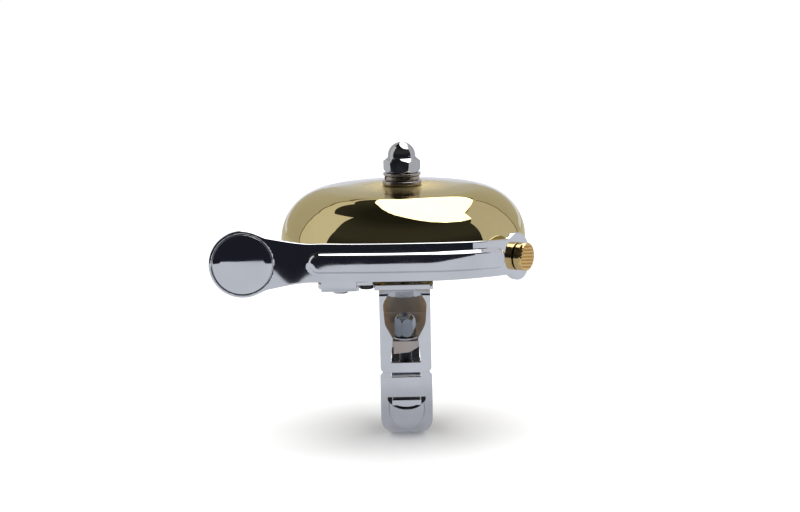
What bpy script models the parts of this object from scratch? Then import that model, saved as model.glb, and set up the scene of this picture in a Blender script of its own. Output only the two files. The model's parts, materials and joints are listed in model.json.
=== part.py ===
"""Handlebar bell with a thumb lever: a brass dome on a steel clamp, rung by a sprung lever round its rim.

Run it with: blender --background --python part.py
Metres, +Z up. The origin is the middle of the handlebar that the clamp holds, X runs along the handlebar,
+Z points to the bell, and -Y is the side that the lever wraps round.
"""

import math

import bmesh
import bpy
from mathutils import Matrix, Vector

MM = 0.001
GAP = 0.2 * MM  # between pieces that touch on the real bell

# The handlebar and the clamp round it
BAR_RADIUS = 11.1 * MM
LINER = 1.0 * MM
SHEET = 1.4 * MM
LINK_SHEET = 1.0 * MM
CLAMP_HALF = 6.15 * MM
STRAP_HALF = 3.5 * MM
METAL_RADIUS = BAR_RADIUS + LINER + 0.3 * MM  # inner face of saddle and strap
FRONT = -17.3 * MM  # outer face of the bracket's front leg
SEAM = 2.5 * MM  # height where the link hangs below the bracket
WEB_TOP = 23.4 * MM
PIN_Y, PIN_Z = 16.6 * MM, 4.3 * MM
PIN_RADIUS = 1.2 * MM
KNUCKLE = 2.5 * MM

# The clamp screw
SCREW_Y = -12.95 * MM
SCREW_RADIUS = 1.5 * MM
TAB_TOP = 4.6 * MM
SADDLE_FROM, SADDLE_TO = 46, 134  # degrees of the saddle's arc
SADDLE_BEND = 1.0 * MM

# The link in front of the bar, and the pouch in it that the strap's tongue hooks into
LINK_CENTRE = -1.8 * MM
LINK_MIDDLE = LINK_CENTRE - FRONT - LINK_SHEET / 2  # radius of the link's middle line
SLIT_TOP, SLIT_BOTTOM = -3.6 * MM, -6.4 * MM
POUCH_RIM = -4.0 * MM

# The plate, the post and the dome
PLATE_BOTTOM, PLATE_TOP = 23.6 * MM, 25.0 * MM
POST_RADIUS = 2.5 * MM
DOME_RADIUS = 30.0 * MM
DOME_TOP, DOME_RIM = 45.8 * MM, 27.3 * MM
DOME_WALL = 1.3 * MM
CROWN_CURVE = 300 * MM
SHOULDER = 12.5 * MM
NUT_BOTTOM = 49.0 * MM
NUT_FLATS = 8.0 * MM  # across the flats of the acorn nut and of the bolt's head
NUT_TURN = -9  # degrees from having a flat facing -Y

# The lever
PIVOT_X, PIVOT_Y = -15.3 * MM, -17.0 * MM
LEVER_Y = -33.3 * MM  # middle of the strip's thickness where it is straight
BEND_FROM = 6.3 * MM  # x where the strip starts to wrap round the dome
BEND_RADIUS = 20.6 * MM
BEND_ANGLE = math.radians(58)
PAD_S, PAD_Z, PAD_RADIUS = -37.6 * MM, 32.5 * MM, 7.85 * MM
END_RADIUS = 5.75 * MM
STRIP_HALF = 4.45 * MM
RIB_HALF, RIB_HEIGHT = 2.4 * MM, 0.9 * MM
RIB_FROM, RIB_TO = -22.5 * MM, 26.0 * MM
FLANGE_TOP = 26.7 * MM
MEDALLION = 7.0 * MM
BUMPER_X, BUMPER_Y = -9.0 * MM, -19.6 * MM
LEG_X, LEG_Y = PIVOT_X + 3.3 * MM, -23.6 * MM  # where the spring's lower leg stands in the flange

STEPS = 36  # facets round a turned piece
DOME_STEPS = 48

# Where an outline's own x, y and depth point in the world
IN_XY = Matrix.Identity(4)
IN_XZ = Matrix.Rotation(math.radians(90), 4, "X")
IN_YZ = Matrix(((0, 0, 1, 0), (1, 0, 0, 0), (0, 1, 0, 0), (0, 0, 0, 1)))

FINISHES = {
    "brass": ((0.83, 0.66, 0.33), 0.08, 1.0),
    "chrome": ((0.80, 0.81, 0.83), 0.07, 1.0),
    "steel": ((0.62, 0.63, 0.65), 0.25, 1.0),
    "rubber": ((0.02, 0.02, 0.02), 0.7, 0.0),
    "nylon": ((0.85, 0.84, 0.80), 0.5, 0.0),
}


# ---------------------------------------------------------------- scene and materials


def clear_scene():
    for obj in list(bpy.data.objects):
        bpy.data.objects.remove(obj)


def new_collection(name):
    made = bpy.data.collections.new(name)
    bpy.context.scene.collection.children.link(made)
    return made


def finish_material(name):
    found = bpy.data.materials.get(name)
    if found:
        return found
    colour, roughness, metallic = FINISHES[name]
    made = bpy.data.materials.new(name)
    made.use_nodes = True
    shader = made.node_tree.nodes["Principled BSDF"]
    shader.inputs["Base Color"].default_value = (*colour, 1)
    shader.inputs["Roughness"].default_value = roughness
    shader.inputs["Metallic"].default_value = metallic
    return made


clear_scene()
BELL = new_collection("bicycle_bell")
CUTTERS = new_collection("cutters")


def add_mesh(name, mesh, at=(0, 0, 0)):
    """A new object of the bell."""
    obj = bpy.data.objects.new(name, mesh)
    obj.location = at
    BELL.objects.link(obj)
    return obj


def joint_empty(name, at):
    """An empty on a joint's axis, which the pieces that turn about it hang on."""
    empty = bpy.data.objects.new(name, None)
    empty.location = at
    BELL.objects.link(empty)
    return empty


def hang(empty, *names):
    """Parents pieces to a joint's empty and leaves them where they are."""
    bpy.context.view_layer.update()
    for name in names:
        piece = bpy.data.objects[name]
        piece.parent = empty
        piece.matrix_parent_inverse = empty.matrix_world.inverted()


def finished(obj, finish):
    """Gives a piece its material and smooth sides."""
    obj.data.materials.clear()
    obj.data.materials.append(finish_material(finish))
    obj.data.shade_smooth()
    obj.data.set_sharp_from_angle(angle=math.radians(35))
    return obj


def boolean(obj, tool, operation):
    """Cuts obj with tool, joins tool to it or keeps what they share. The tool becomes a hidden guide."""
    BELL.objects.unlink(tool)
    CUTTERS.objects.link(tool)
    tool.hide_render = True
    tool.display_type = "WIRE"
    modifier = obj.modifiers.new(operation.lower(), "BOOLEAN")
    modifier.operation = operation
    modifier.object = tool
    return obj


def cut(obj, tool):
    return boolean(obj, tool, "DIFFERENCE")


def join(obj, tool):
    return boolean(obj, tool, "UNION")


# ---------------------------------------------------------------- outlines


def arc(centre, radius, start, end, steps):
    """Points on an arc, with start and end in degrees."""
    angles = [math.radians(start + (end - start) * i / steps) for i in range(steps + 1)]
    return [(centre[0] + radius * math.cos(a), centre[1] + radius * math.sin(a)) for a in angles]


def rounded(corners, steps=6):
    """A closed outline from (x, y, radius) corners, each rounded by an arc that touches both its sides."""
    points = []
    for i, (x, y, radius) in enumerate(corners):
        here = Vector((x, y))
        before = (Vector(corners[i - 1][:2]) - here).normalized()
        after = (Vector(corners[(i + 1) % len(corners)][:2]) - here).normalized()
        if radius == 0:
            points.append((x, y))
            continue
        half = before.angle(after) / 2
        centre = here + (before + after).normalized() * radius / math.sin(half)
        first = here + before * radius / math.tan(half) - centre
        turn = first.angle_signed(here + after * radius / math.tan(half) - centre)
        for k in range(steps + 1):
            points.append(tuple(centre + Matrix.Rotation(-turn * k / steps, 2) @ first))
    return points


def strip_line(start, heading, moves):
    """The middle line of a bent strip. A move is a length to go, or (radius, degrees) to turn."""
    x, y = start
    angle = math.radians(heading)
    points = [(x, y)]
    for move in moves:
        if not isinstance(move, tuple):
            x, y = x + move * math.cos(angle), y + move * math.sin(angle)
            points.append((x, y))
            continue
        radius, degrees = move
        side = math.copysign(1, degrees)
        steps = max(3, round(abs(degrees) * (4 + radius / MM) / 90))
        cx, cy = x - side * radius * math.sin(angle), y + side * radius * math.cos(angle)
        for k in range(1, steps + 1):
            a = angle + math.radians(degrees) * k / steps
            points.append((cx + side * radius * math.sin(a), cy - side * radius * math.cos(a)))
        angle += math.radians(degrees)
        x, y = points[-1]
    return points


def strip_outline(line, thickness):
    """The closed outline of a strip whose middle line is given."""
    left, right = [], []
    for i, point in enumerate(line):
        here = Vector(point)
        back = (here - Vector(line[i - 1])).normalized() if i else None
        ahead = (Vector(line[i + 1]) - here).normalized() if i + 1 < len(line) else None
        along = ((back or ahead) + (ahead or back)).normalized()
        stretch = 1 / max(0.5, along.dot(ahead or back))
        side = Vector((-along.y, along.x)) * thickness / 2 * stretch
        left.append(tuple(here + side))
        right.append(tuple(here - side))
    return left + right[::-1]


# ---------------------------------------------------------------- solids


def extruded(name, outline, half, frame=IN_XY, centre=0.0):
    """A flat outline given a thickness of twice half, about centre, along the depth of its frame."""
    curve = bpy.data.curves.new(name, "CURVE")
    curve.dimensions = "2D"
    curve.fill_mode = "BOTH"
    curve.extrude = half
    spline = curve.splines.new("POLY")
    spline.points.add(len(outline) - 1)
    for point, (x, y) in zip(spline.points, outline):
        point.co = (x, y, 0, 1)
    spline.use_cyclic_u = True
    guide = bpy.data.objects.new(name, curve)
    BELL.objects.link(guide)
    return as_mesh(guide, frame @ Matrix.Translation((0, 0, centre)))


def as_mesh(curve_object, matrix=IN_XY):
    """The curve's solid as a welded mesh object, and the curve removed."""
    bpy.context.view_layer.update()
    graph = bpy.context.evaluated_depsgraph_get()
    mesh = bpy.data.meshes.new_from_object(curve_object.evaluated_get(graph))
    mesh.transform(matrix @ curve_object.matrix_world)
    work = bmesh.new()
    work.from_mesh(mesh)
    bmesh.ops.remove_doubles(work, verts=work.verts, dist=0.001 * MM)
    bmesh.ops.recalc_face_normals(work, faces=work.faces)
    work.to_mesh(mesh)
    work.free()
    name = curve_object.name
    bpy.data.objects.remove(curve_object)
    return add_mesh(name, mesh)


def turned(name, profile, at=(0, 0, 0), steps=STEPS, closed=False):
    """A piece turned about Z from (radius, height) points that run down its outer side."""
    mesh = bpy.data.meshes.new(name)
    points = [(radius, 0, height) for radius, height in profile]
    edges = [(i, i + 1) for i in range(len(points) - 1)]
    if closed:
        edges.append((len(points) - 1, 0))
    mesh.from_pydata(points, edges, [])
    obj = add_mesh(name, mesh, at)
    screw = obj.modifiers.new("turn", "SCREW")
    screw.steps = steps
    screw.render_steps = steps
    screw.use_merge_vertices = True
    screw.merge_threshold = 0.001 * MM
    return obj


def applied(obj):
    """The object with its modifiers made part of its mesh, so that its data can be shaded or changed."""
    bpy.context.view_layer.update()
    graph = bpy.context.evaluated_depsgraph_get()
    mesh = bpy.data.meshes.new_from_object(obj.evaluated_get(graph))
    obj.modifiers.clear()
    obj.data = mesh
    return obj


def ring(name, outer, inner, bottom, top, at=(0, 0), steps=STEPS):
    """A washer, bush or sleeve."""
    profile = [(inner, top), (outer, top), (outer, bottom), (inner, bottom)]
    return turned(name, profile, (*at, 0), steps, closed=True)


def cylinder(name, radius, bottom, top, at=(0, 0), steps=STEPS):
    """A round solid along Z."""
    return turned(name, [(0, top), (radius, top), (radius, bottom), (0, bottom)], (*at, 0), steps)


def block(name, low, high):
    """A box between two corners."""
    mesh = bpy.data.meshes.new(name)
    work = bmesh.new()
    size = Vector(high) - Vector(low)
    middle = (Vector(high) + Vector(low)) / 2
    place = Matrix.Translation(middle) @ Matrix.Diagonal((*size, 1))
    bmesh.ops.create_cube(work, size=1, matrix=place)
    work.to_mesh(mesh)
    work.free()
    return add_mesh(name, mesh)


def hexed(obj, across_flats, turn, at=(0, 0)):
    """Keeps what lies inside a hexagonal bar along Z. At no turn, one of its flats faces -Y."""
    mesh = bpy.data.meshes.new("hexagon")
    work = bmesh.new()
    radius = across_flats / math.sqrt(3)
    tall = 200 * MM
    bmesh.ops.create_cone(work, cap_ends=True, segments=6, radius1=radius, radius2=radius, depth=tall)
    bmesh.ops.rotate(work, verts=work.verts, matrix=Matrix.Rotation(math.radians(30 + turn), 3, "Z"))
    work.to_mesh(mesh)
    work.free()
    return boolean(obj, add_mesh("hexagon", mesh, (*at, 0)), "INTERSECT")


# ---------------------------------------------------------------- the clamp


def make_bracket():
    """The upper half of the clamp: a front leg with a window, a web, a rear leg with two ears."""
    bend = 1.5 * MM
    rear = PIN_Y
    front = FRONT + SHEET / 2
    top = WEB_TOP - SHEET / 2
    line = strip_line(
        (front, SEAM + 0.15 * MM),
        90,
        [
            top - bend - SEAM - 0.15 * MM,
            (bend, -90),
            rear - front - 2 * bend,
            (bend, -90),
            top - bend - PIN_Z - KNUCKLE / 2,
        ],
    )
    bracket = extruded("clamp_bracket", strip_outline(line, SHEET), CLAMP_HALF, IN_YZ)
    ear = extruded("ears", arc((PIN_Y, PIN_Z), KNUCKLE, 0, 345, 23), CLAMP_HALF, IN_YZ)
    join(bracket, ear)
    inner = STRAP_HALF + 0.3 * MM
    room = block("strap_room", (-inner, 10 * MM, -5 * MM), (inner, 25 * MM, PIN_Z + KNUCKLE + 0.6 * MM))
    cut(bracket, room)
    bore = extruded("pin_bore", arc((PIN_Y, PIN_Z), PIN_RADIUS + 0.1 * MM, 0, 345, 23), 9 * MM, IN_YZ)
    cut(bracket, bore)
    cut(bracket, extruded("window", window_outline(), 3 * MM, IN_XZ, -FRONT))
    cut(bracket, cylinder("post_hole", POST_RADIUS + 0.15 * MM, 15 * MM, 30 * MM))
    for side in (-1, 1):
        sliver = [(side * (CLAMP_HALF + 0.01 * MM - x), SEAM + z) for x, z in corner_sliver(2.0 * MM)]
        cut(bracket, extruded("corner", sliver, 1.6 * MM, IN_XZ, -FRONT))
    finished(applied(bracket), "chrome")


def corner_sliver(radius):
    """What lies between a square corner and the arc that rounds it, and a little outside the corner."""
    outside = -0.5 * MM
    return [(outside, outside)] + arc((radius, radius), radius, 180, 270, 6)


def window_outline():
    """The keyhole in the front leg: an arched window at the screw's head, and a slot at the tab."""
    right = [
        (3.6 * MM, 22.3 * MM, 2.0 * MM),
        (5.3 * MM, 19.4 * MM, 3.0 * MM),
        (4.9 * MM, 14.3 * MM, 4.0 * MM),
        (3.05 * MM, 10.9 * MM, 0.6 * MM),
        (3.65 * MM, 4.85 * MM, 0.3 * MM),
    ]
    left = [(-x, z, radius) for x, z, radius in reversed(right)]
    return rounded(right + left, 4)


def saddle_start():
    """The saddle's radius and slope, and the y and z where its middle line leaves the front shelf."""
    middle = METAL_RADIUS + SHEET / 2
    slope = (SADDLE_TO - SADDLE_FROM) / 2
    turn = math.radians(slope)
    y = -(middle + SADDLE_BEND) * math.sin(turn)
    z = middle * math.cos(turn) - SADDLE_BEND * (1 - math.cos(turn))
    return middle, slope, y, z


def make_saddle():
    """The strip across the top of the bar. The screw's head pulls down on its front shelf."""
    middle, slope, start_y, start_z = saddle_start()
    bend = SADDLE_BEND
    reach = start_y - (FRONT + SHEET + GAP)
    sweep = SADDLE_TO - SADDLE_FROM
    line = strip_line(
        (start_y - reach, start_z), 0, [reach, (bend, slope), (middle, -sweep), (bend, slope), reach]
    )
    saddle = extruded("bar_saddle", strip_outline(line, SHEET), CLAMP_HALF, IN_YZ)
    edge = start_z - SHEET / 2
    lip = [
        (-2.9 * MM, edge + 0.5 * MM), (2.9 * MM, edge + 0.5 * MM), (2.9 * MM, edge - 0.2 * MM),
        (0.9 * MM, edge - 1.3 * MM), (-2.9 * MM, edge - 1.7 * MM),
    ]
    lip_back = FRONT + SHEET + GAP + 1.0 * MM
    join(saddle, extruded("lip", lip, 0.5 * MM, IN_XZ, 0.5 * MM - lip_back))
    cut(saddle, cylinder("screw_way", SCREW_RADIUS + 0.25 * MM, 0, 12 * MM, (0, SCREW_Y)))
    finished(applied(saddle), "steel")


def liner(name, start, end):
    """A strip of rubber between the bar and the metal, from one angle round the bar to another."""
    outer = BAR_RADIUS + LINER
    steps = round((end - start) / 6)
    outline = arc((0, 0), outer, start, end, steps) + arc((0, 0), BAR_RADIUS, end, start, steps)
    finished(extruded(name, outline, CLAMP_HALF - 0.3 * MM, IN_YZ), "rubber")


def make_strap():
    """The strip that goes under the bar, from the hinge pin to a tongue that hooks into the link."""
    middle = METAL_RADIUS + 0.6 * MM
    leave, hook = -25, -154.3
    meet = (middle * math.cos(math.radians(leave)), middle * math.sin(math.radians(leave)))
    run = 9.0 * MM
    away = math.radians(leave)
    start = (meet[0] - run * math.sin(away), meet[1] + run * math.cos(away))
    line = strip_line(
        start, leave - 90, [run, (middle, hook - leave), (1.3 * MM, -(hook + 90)), 4.6 * MM]
    )
    strap = extruded("clamp_strap", strip_outline(line, 1.2 * MM), STRAP_HALF, IN_YZ)
    lip = half_moon(STRAP_HALF - 0.2 * MM, -4.4 * MM, 0.1 * MM, -5.9 * MM)
    join(strap, extruded("hook_lip", lip, 0.55 * MM, IN_XZ, 16.95 * MM))
    join(strap, extruded("knuckle", arc((PIN_Y, PIN_Z), KNUCKLE, 0, 345, 23), STRAP_HALF, IN_YZ))
    cut(strap, extruded("pin_way", arc((PIN_Y, PIN_Z), PIN_RADIUS + 0.15 * MM, 0, 345, 23), 9 * MM, IN_YZ))
    finished(applied(strap), "chrome")


def link_front():
    """The link seen from the front: square shoulders and a rounded lower end."""
    half, low = CLAMP_HALF + 0.1 * MM, -14.8 * MM
    wide, tall = 3.6 * MM, 5.2 * MM
    corner = [
        (half - wide * (1 - math.cos(math.radians(a))), low + tall * (1 - math.sin(math.radians(a))))
        for a in range(0, 91, 9)
    ]
    top = [(half - 0.4 * MM, SEAM - 0.15 * MM), (half, SEAM - 0.55 * MM)]
    right = top + corner
    return right + [(-x, z) for x, z in reversed(right)]


def make_link():
    """The front half of the clamp: a tab that the screw lifts, and a pouch for the strap's tongue."""
    face = LINK_CENTRE - LINK_MIDDLE
    plate_line = strip_line((face, SEAM - 0.15 * MM), -90, [SEAM - 0.15 * MM, (LINK_MIDDLE, 70)])
    link = extruded("clamp_link", strip_outline(plate_line, LINK_SHEET), 8 * MM, IN_YZ)
    boolean(link, extruded("front", link_front(), 30 * MM, IN_XZ), "INTERSECT")
    notch = STRAP_HALF + 0.25 * MM
    cut(link, block("notch", (-notch, -20 * MM, 1.3 * MM), (notch, -15 * MM, 5 * MM)))
    join(link, extruded("neck", strip_outline(neck_line(face), LINK_SHEET), STRAP_HALF, IN_YZ))
    join(link, pouch("pouch", 0))
    cut(link, pouch("pouch_room", 0.8 * MM))
    inside = arc((LINK_CENTRE, 0), LINK_MIDDLE - LINK_SHEET / 2, 190, 265, 15) + [(LINK_CENTRE, -3 * MM)]
    cut(link, extruded("inside", inside, 5.5 * MM, IN_YZ))
    slit = half_moon(4.6 * MM, SLIT_TOP, 0.5 * MM, SLIT_BOTTOM)
    cut(link, extruded("slit", slit, 4.5 * MM, IN_XZ, 14.5 * MM))
    cut(link, cylinder("thread", SCREW_RADIUS + 0.2 * MM, 3 * MM, 9 * MM, (0, SCREW_Y)))
    finished(applied(link), "chrome")


def half_moon(half, top, side, bottom):
    """A slot with a straight top edge, short sides and a round lower edge."""
    drop = top - side - bottom
    angles = [math.pi * k / 16 for k in range(17)]
    curve = [(half * math.cos(a), top - side - drop * math.sin(a)) for a in angles]
    return [(-half, top), (half, top)] + curve


def neck_line(face):
    """The middle line of the neck: a step inwards, up behind the bracket, and back as the tab."""
    behind = FRONT + SHEET + 0.3 * MM + LINK_SHEET / 2
    step = behind - face
    bend = 0.9 * MM
    tab = TAB_TOP - LINK_SHEET / 2
    line = [(face, 0.2 * MM), (face, 0.9 * MM)]
    line += [
        (face + step * (1 - math.cos(math.radians(a))) / 2, 0.9 * MM + 1.9 * MM * a / 180)
        for a in range(30, 181, 30)
    ]
    line += arc((behind + bend, tab - bend), bend, 180, 90, 5)
    line += [(-9.9 * MM, tab)]
    return line


def pouch(name, inset):
    """Half an egg that stands out of the link below its slit, open at the top."""
    angle = math.radians(26)
    mesh = bpy.data.meshes.new(name)
    work = bmesh.new()
    bmesh.ops.create_uvsphere(work, u_segments=24, v_segments=14, radius=1)
    sizes = (4.5 * MM - inset, 2.9 * MM - inset, 5.9 * MM - inset)
    middle = LINK_MIDDLE - 0.4 * MM
    centre = (0, LINK_CENTRE - middle * math.cos(angle), -middle * math.sin(angle))
    place = Matrix.Translation(centre) @ Matrix.Rotation(angle, 4, "X") @ Matrix.Diagonal((*sizes, 1))
    bmesh.ops.transform(work, matrix=place, verts=work.verts)
    over = inset / 2
    bmesh.ops.bisect_plane(
        work, geom=work.verts[:] + work.edges[:] + work.faces[:], plane_co=(0, 0, POUCH_RIM + over),
        plane_no=(0, 0, 1), clear_outer=True,
    )
    bmesh.ops.holes_fill(work, edges=[edge for edge in work.edges if edge.is_boundary])
    bmesh.ops.recalc_face_normals(work, faces=work.faces)
    work.to_mesh(mesh)
    work.free()
    return add_mesh(name, mesh)


def make_screw():
    """The clamp screw: its head stands on the saddle's shelf, its shank is threaded in the link's tab."""
    shelf = saddle_start()[3] + SHEET / 2
    seat = shelf + GAP + 0.5 * MM + GAP
    corner, shoulder, dome = 2.89 * MM, seat + 3.6 * MM, 2.0 * MM
    profile = [(0, shoulder + dome)]
    profile += [
        (corner * math.sin(math.radians(a)), shoulder + dome * math.cos(math.radians(a)))
        for a in range(18, 91, 18)
    ]
    profile += [
        (corner, seat + 0.3 * MM), (2.5 * MM, seat), (SCREW_RADIUS, seat),
        (SCREW_RADIUS, 0.5 * MM), (1.1 * MM, 0.1 * MM), (0, 0.1 * MM),
    ]
    screw = turned("clamp_screw", profile, (0, SCREW_Y, 0), 24)
    finished(applied(hexed(screw, 5.0 * MM, 3, (0, SCREW_Y))), "steel")
    washer = ring("clamp_washer", 3.0 * MM, SCREW_RADIUS + 0.15 * MM, shelf + GAP, seat - GAP, (0, SCREW_Y))
    finished(applied(washer), "steel")


def make_hinge_pin():
    """The pin at the back of the clamp, rounded over at both ends."""
    half, dome = CLAMP_HALF - 0.2 * MM, 0.4 * MM
    profile = [
        (0, half + dome), (0.7 * PIN_RADIUS, half + 0.7 * dome), (PIN_RADIUS, half), (PIN_RADIUS, -half),
        (0.7 * PIN_RADIUS, -half - 0.7 * dome), (0, -half - dome),
    ]
    pin = turned("hinge_pin", profile, (0, PIN_Y, PIN_Z), 24)
    pin.rotation_euler = (0, math.radians(90), 0)
    finished(applied(pin), "steel")


# ---------------------------------------------------------------- plate, post and dome


def make_plate():
    """The plate between clamp and bell, with an ear for the lever's pivot and a tab for its spring."""
    ear = PIVOT_X - 5.4 * MM
    corners = [
        (6.9 * MM, -22.2 * MM, 0.8 * MM),
        (6.9 * MM, 17.6 * MM, 3.0 * MM),
        (-6.9 * MM, 17.6 * MM, 3.0 * MM),
        (-6.9 * MM, -9.0 * MM, 4.0 * MM),
        (ear, PIVOT_Y + 5.4 * MM, 5.3 * MM),
        (ear, PIVOT_Y - 5.4 * MM, 5.3 * MM),
    ]
    middle, half = (PLATE_TOP + PLATE_BOTTOM) / 2, (PLATE_TOP - PLATE_BOTTOM) / 2
    plate = extruded("base_plate", rounded(corners), half, IN_XY, middle)
    tab_front = -15.7 * MM
    tab_low = (-8.5 * MM, tab_front, PLATE_TOP - 0.7 * MM)
    tab_high = (-5.5 * MM, tab_front + 1.3 * MM, 31.8 * MM)
    tab = block("tab", tab_low, tab_high)
    join(plate, tab)
    cut(plate, cylinder("post_way", POST_RADIUS + 0.15 * MM, 20 * MM, 28 * MM))
    cut(plate, cylinder("rivet_way", 1.65 * MM, 20 * MM, 28 * MM, (PIVOT_X, PIVOT_Y)))
    stem = 1.8 * MM
    slot = [(BUMPER_X + stem, -30 * MM), (BUMPER_X + stem, BUMPER_Y)]
    slot += arc((BUMPER_X, BUMPER_Y), stem, 15, 165, 8) + [(BUMPER_X - stem, -30 * MM)]
    cut(plate, extruded("bumper_slot", slot, 6 * MM, IN_XY, PLATE_TOP))
    finished(applied(plate), "chrome")


def make_post():
    """The bolt through the whole bell, its head under the web, and the sleeve that carries the dome."""
    head_top = WEB_TOP - SHEET - GAP
    head_bottom = head_top - 3.4 * MM
    tip = NUT_BOTTOM + 4.6 * MM
    rim = 4.62 * MM
    profile = [
        (0, tip), (2.1 * MM, tip), (POST_RADIUS, tip - 0.4 * MM), (POST_RADIUS, head_top),
        (4.2 * MM, head_top), (rim, head_top - 0.3 * MM), (rim, head_bottom + 0.3 * MM),
        (4.2 * MM, head_bottom), (0, head_bottom),
    ]
    bolt = turned("center_bolt", profile, steps=36)
    finished(applied(hexed(bolt, NUT_FLATS, 0)), "steel")
    under = dome_height(0) - DOME_WALL
    foot = PLATE_TOP + GAP
    top = under - 1.4 * MM
    inner = POST_RADIUS + 0.15 * MM
    sleeve = [
        (inner, top), (5.4 * MM, top), (5.4 * MM, top - 0.8 * MM), (4.4 * MM, top - 1.4 * MM),
        (4.4 * MM, foot + 1.4 * MM), (5.4 * MM, foot + 0.8 * MM), (5.4 * MM, foot), (inner, foot),
    ]
    finished(applied(turned("post_sleeve", sleeve, steps=36, closed=True)), "steel")
    cushion = ring("crown_cushion", 6.4 * MM, inner, top + GAP, under - GAP, steps=36)
    finished(applied(cushion), "nylon")


def dome_height(radius):
    """Height of the crown's outer face."""
    return DOME_TOP - CROWN_CURVE + math.sqrt(CROWN_CURVE**2 - radius**2)


def dome_line(inset, steps):
    """The dome's profile, from the hole in its crown down to its rim, moved in by inset."""
    slope = math.asin((DOME_RADIUS - SHOULDER) / (CROWN_CURVE - SHOULDER))
    crown = CROWN_CURVE - inset
    base = DOME_TOP - CROWN_CURVE
    hole = POST_RADIUS + 0.25 * MM
    first = math.asin(hole / crown)
    line = [
        (crown * math.sin(a), base + crown * math.cos(a))
        for a in (first + (slope - first) * k / 5 for k in range(6))
    ]
    centre = (DOME_RADIUS - SHOULDER, base + (CROWN_CURVE - SHOULDER) * math.cos(slope))
    turn = math.radians(90) - slope
    line += [
        (centre[0] + (SHOULDER - inset) * math.sin(slope + turn * k / steps),
         centre[1] + (SHOULDER - inset) * math.cos(slope + turn * k / steps))
        for k in range(1, steps + 1)
    ]
    return line


def make_dome():
    """The brass bell, a turned shell with a thick rim."""
    bead = 0.5 * MM
    outer = dome_line(0, 10) + [(DOME_RADIUS, DOME_RIM + 0.4 * MM), (DOME_RADIUS - 0.4 * MM, DOME_RIM)]
    inner_rim = DOME_RADIUS - DOME_WALL - bead
    inner = [(inner_rim, DOME_RIM), (inner_rim, DOME_RIM + 1.6 * MM)]
    inner += [(DOME_RADIUS - DOME_WALL, DOME_RIM + 2.8 * MM)] + dome_line(DOME_WALL, 8)[::-1]
    dome = turned("bell_dome", outer + inner, steps=DOME_STEPS, closed=True)
    finished(applied(dome), "brass")


def make_crown_stack():
    """What holds the dome down: two washers with a split spring washer between them, and an acorn nut."""
    inner = POST_RADIUS + 0.15 * MM
    finished(applied(ring("crown_washer", 4.8 * MM, inner, DOME_TOP + GAP, DOME_TOP + 1.2 * MM)), "chrome")
    split = ring("spring_washer", 4.3 * MM, inner, DOME_TOP + 1.4 * MM, DOME_TOP + 2.35 * MM)
    saw = block("saw", (-0.35 * MM, -6 * MM, -2 * MM), (0.35 * MM, 0, 2 * MM))
    saw.location = (0, 0, DOME_TOP + 1.9 * MM)
    saw.rotation_euler = (0, math.radians(35), math.radians(-70))
    cut(split, saw)
    finished(applied(split), "steel")
    washer = ring("nut_washer", 4.6 * MM, inner, DOME_TOP + 2.5 * MM, NUT_BOTTOM - GAP / 2)
    finished(applied(washer), "chrome")
    ball, top = 3.4 * MM, 56.4 * MM
    waist = top - ball - 0.1 * MM
    profile = [(0, top)]
    profile += [
        (ball * math.sin(math.radians(a)), top - ball + ball * math.cos(math.radians(a)))
        for a in range(15, 91, 15)
    ]
    profile += [
        (3.5 * MM, waist - 0.3 * MM), (4.62 * MM, waist - 1.2 * MM), (4.62 * MM, NUT_BOTTOM + 0.8 * MM),
        (3.9 * MM, NUT_BOTTOM), (0, NUT_BOTTOM),
    ]
    nut = hexed(turned("acorn_nut", profile), NUT_FLATS, NUT_TURN)
    cut(nut, cylinder("nut_bore", POST_RADIUS + 0.15 * MM, 40 * MM, NUT_BOTTOM + 5.0 * MM))
    finished(applied(nut), "chrome")


# ---------------------------------------------------------------- the lever


def lever_spot(s):
    """Where a length s along the strip lies in plan, and the way its outer face looks there."""
    if s <= BEND_FROM:
        return Vector((s, LEVER_Y, 0)), Vector((0, -1, 0))
    turn = min((s - BEND_FROM) / BEND_RADIUS, BEND_ANGLE)
    beyond = s - BEND_FROM - turn * BEND_RADIUS
    spot = Vector((
        BEND_FROM + BEND_RADIUS * math.sin(turn) + beyond * math.cos(turn),
        LEVER_Y + BEND_RADIUS * (1 - math.cos(turn)) + beyond * math.sin(turn),
        0,
    ))
    return spot, Vector((math.sin(turn), -math.cos(turn), 0))


END_S = BEND_FROM + BEND_RADIUS * BEND_ANGLE + END_RADIUS  # middle of the round end that holds the striker


def ease(value, start, end):
    """0 before start, 1 after end, smooth between them."""
    t = min(1.0, max(0.0, (value - start) / (end - start)))
    return t * t * (3 - 2 * t)


def smooth_max(a, b, reach):
    """The larger of two lengths, rounded where they are within reach of each other."""
    near = max(reach - abs(a - b), 0) / reach
    return max(a, b) + near * near * reach / 4


def lever_middle(s):
    """Height of the strip's middle line: it drops towards the striker."""
    bend = max(0.0, (s - 8 * MM) / (25 * MM))
    return PAD_Z - 0.3 * MM * ease(s, -30 * MM, 0) - 1.55 * MM * bend**2


def lever_half(s):
    """Half the strip's height: a round pad, a neck that narrows from it, the strip, and a round end."""
    pad = math.sqrt(max(PAD_RADIUS**2 - (s - PAD_S) ** 2, 0))
    end = math.sqrt(max(END_RADIUS**2 - (s - END_S) ** 2, 0))
    if s < PAD_S:
        return pad
    if s > END_S:
        return end
    neck = STRIP_HALF - 0.2 * MM + 2.47 * MM * math.exp(-(((s - PAD_S) / (10.6 * MM)) ** 2))
    neck += 0.25 * MM * ease(s, -23 * MM, -18 * MM) - 0.2 * MM * ease(s, 5 * MM, 25 * MM)
    return smooth_max(smooth_max(pad, neck, 0.8 * MM), end, 1.2 * MM)


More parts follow.
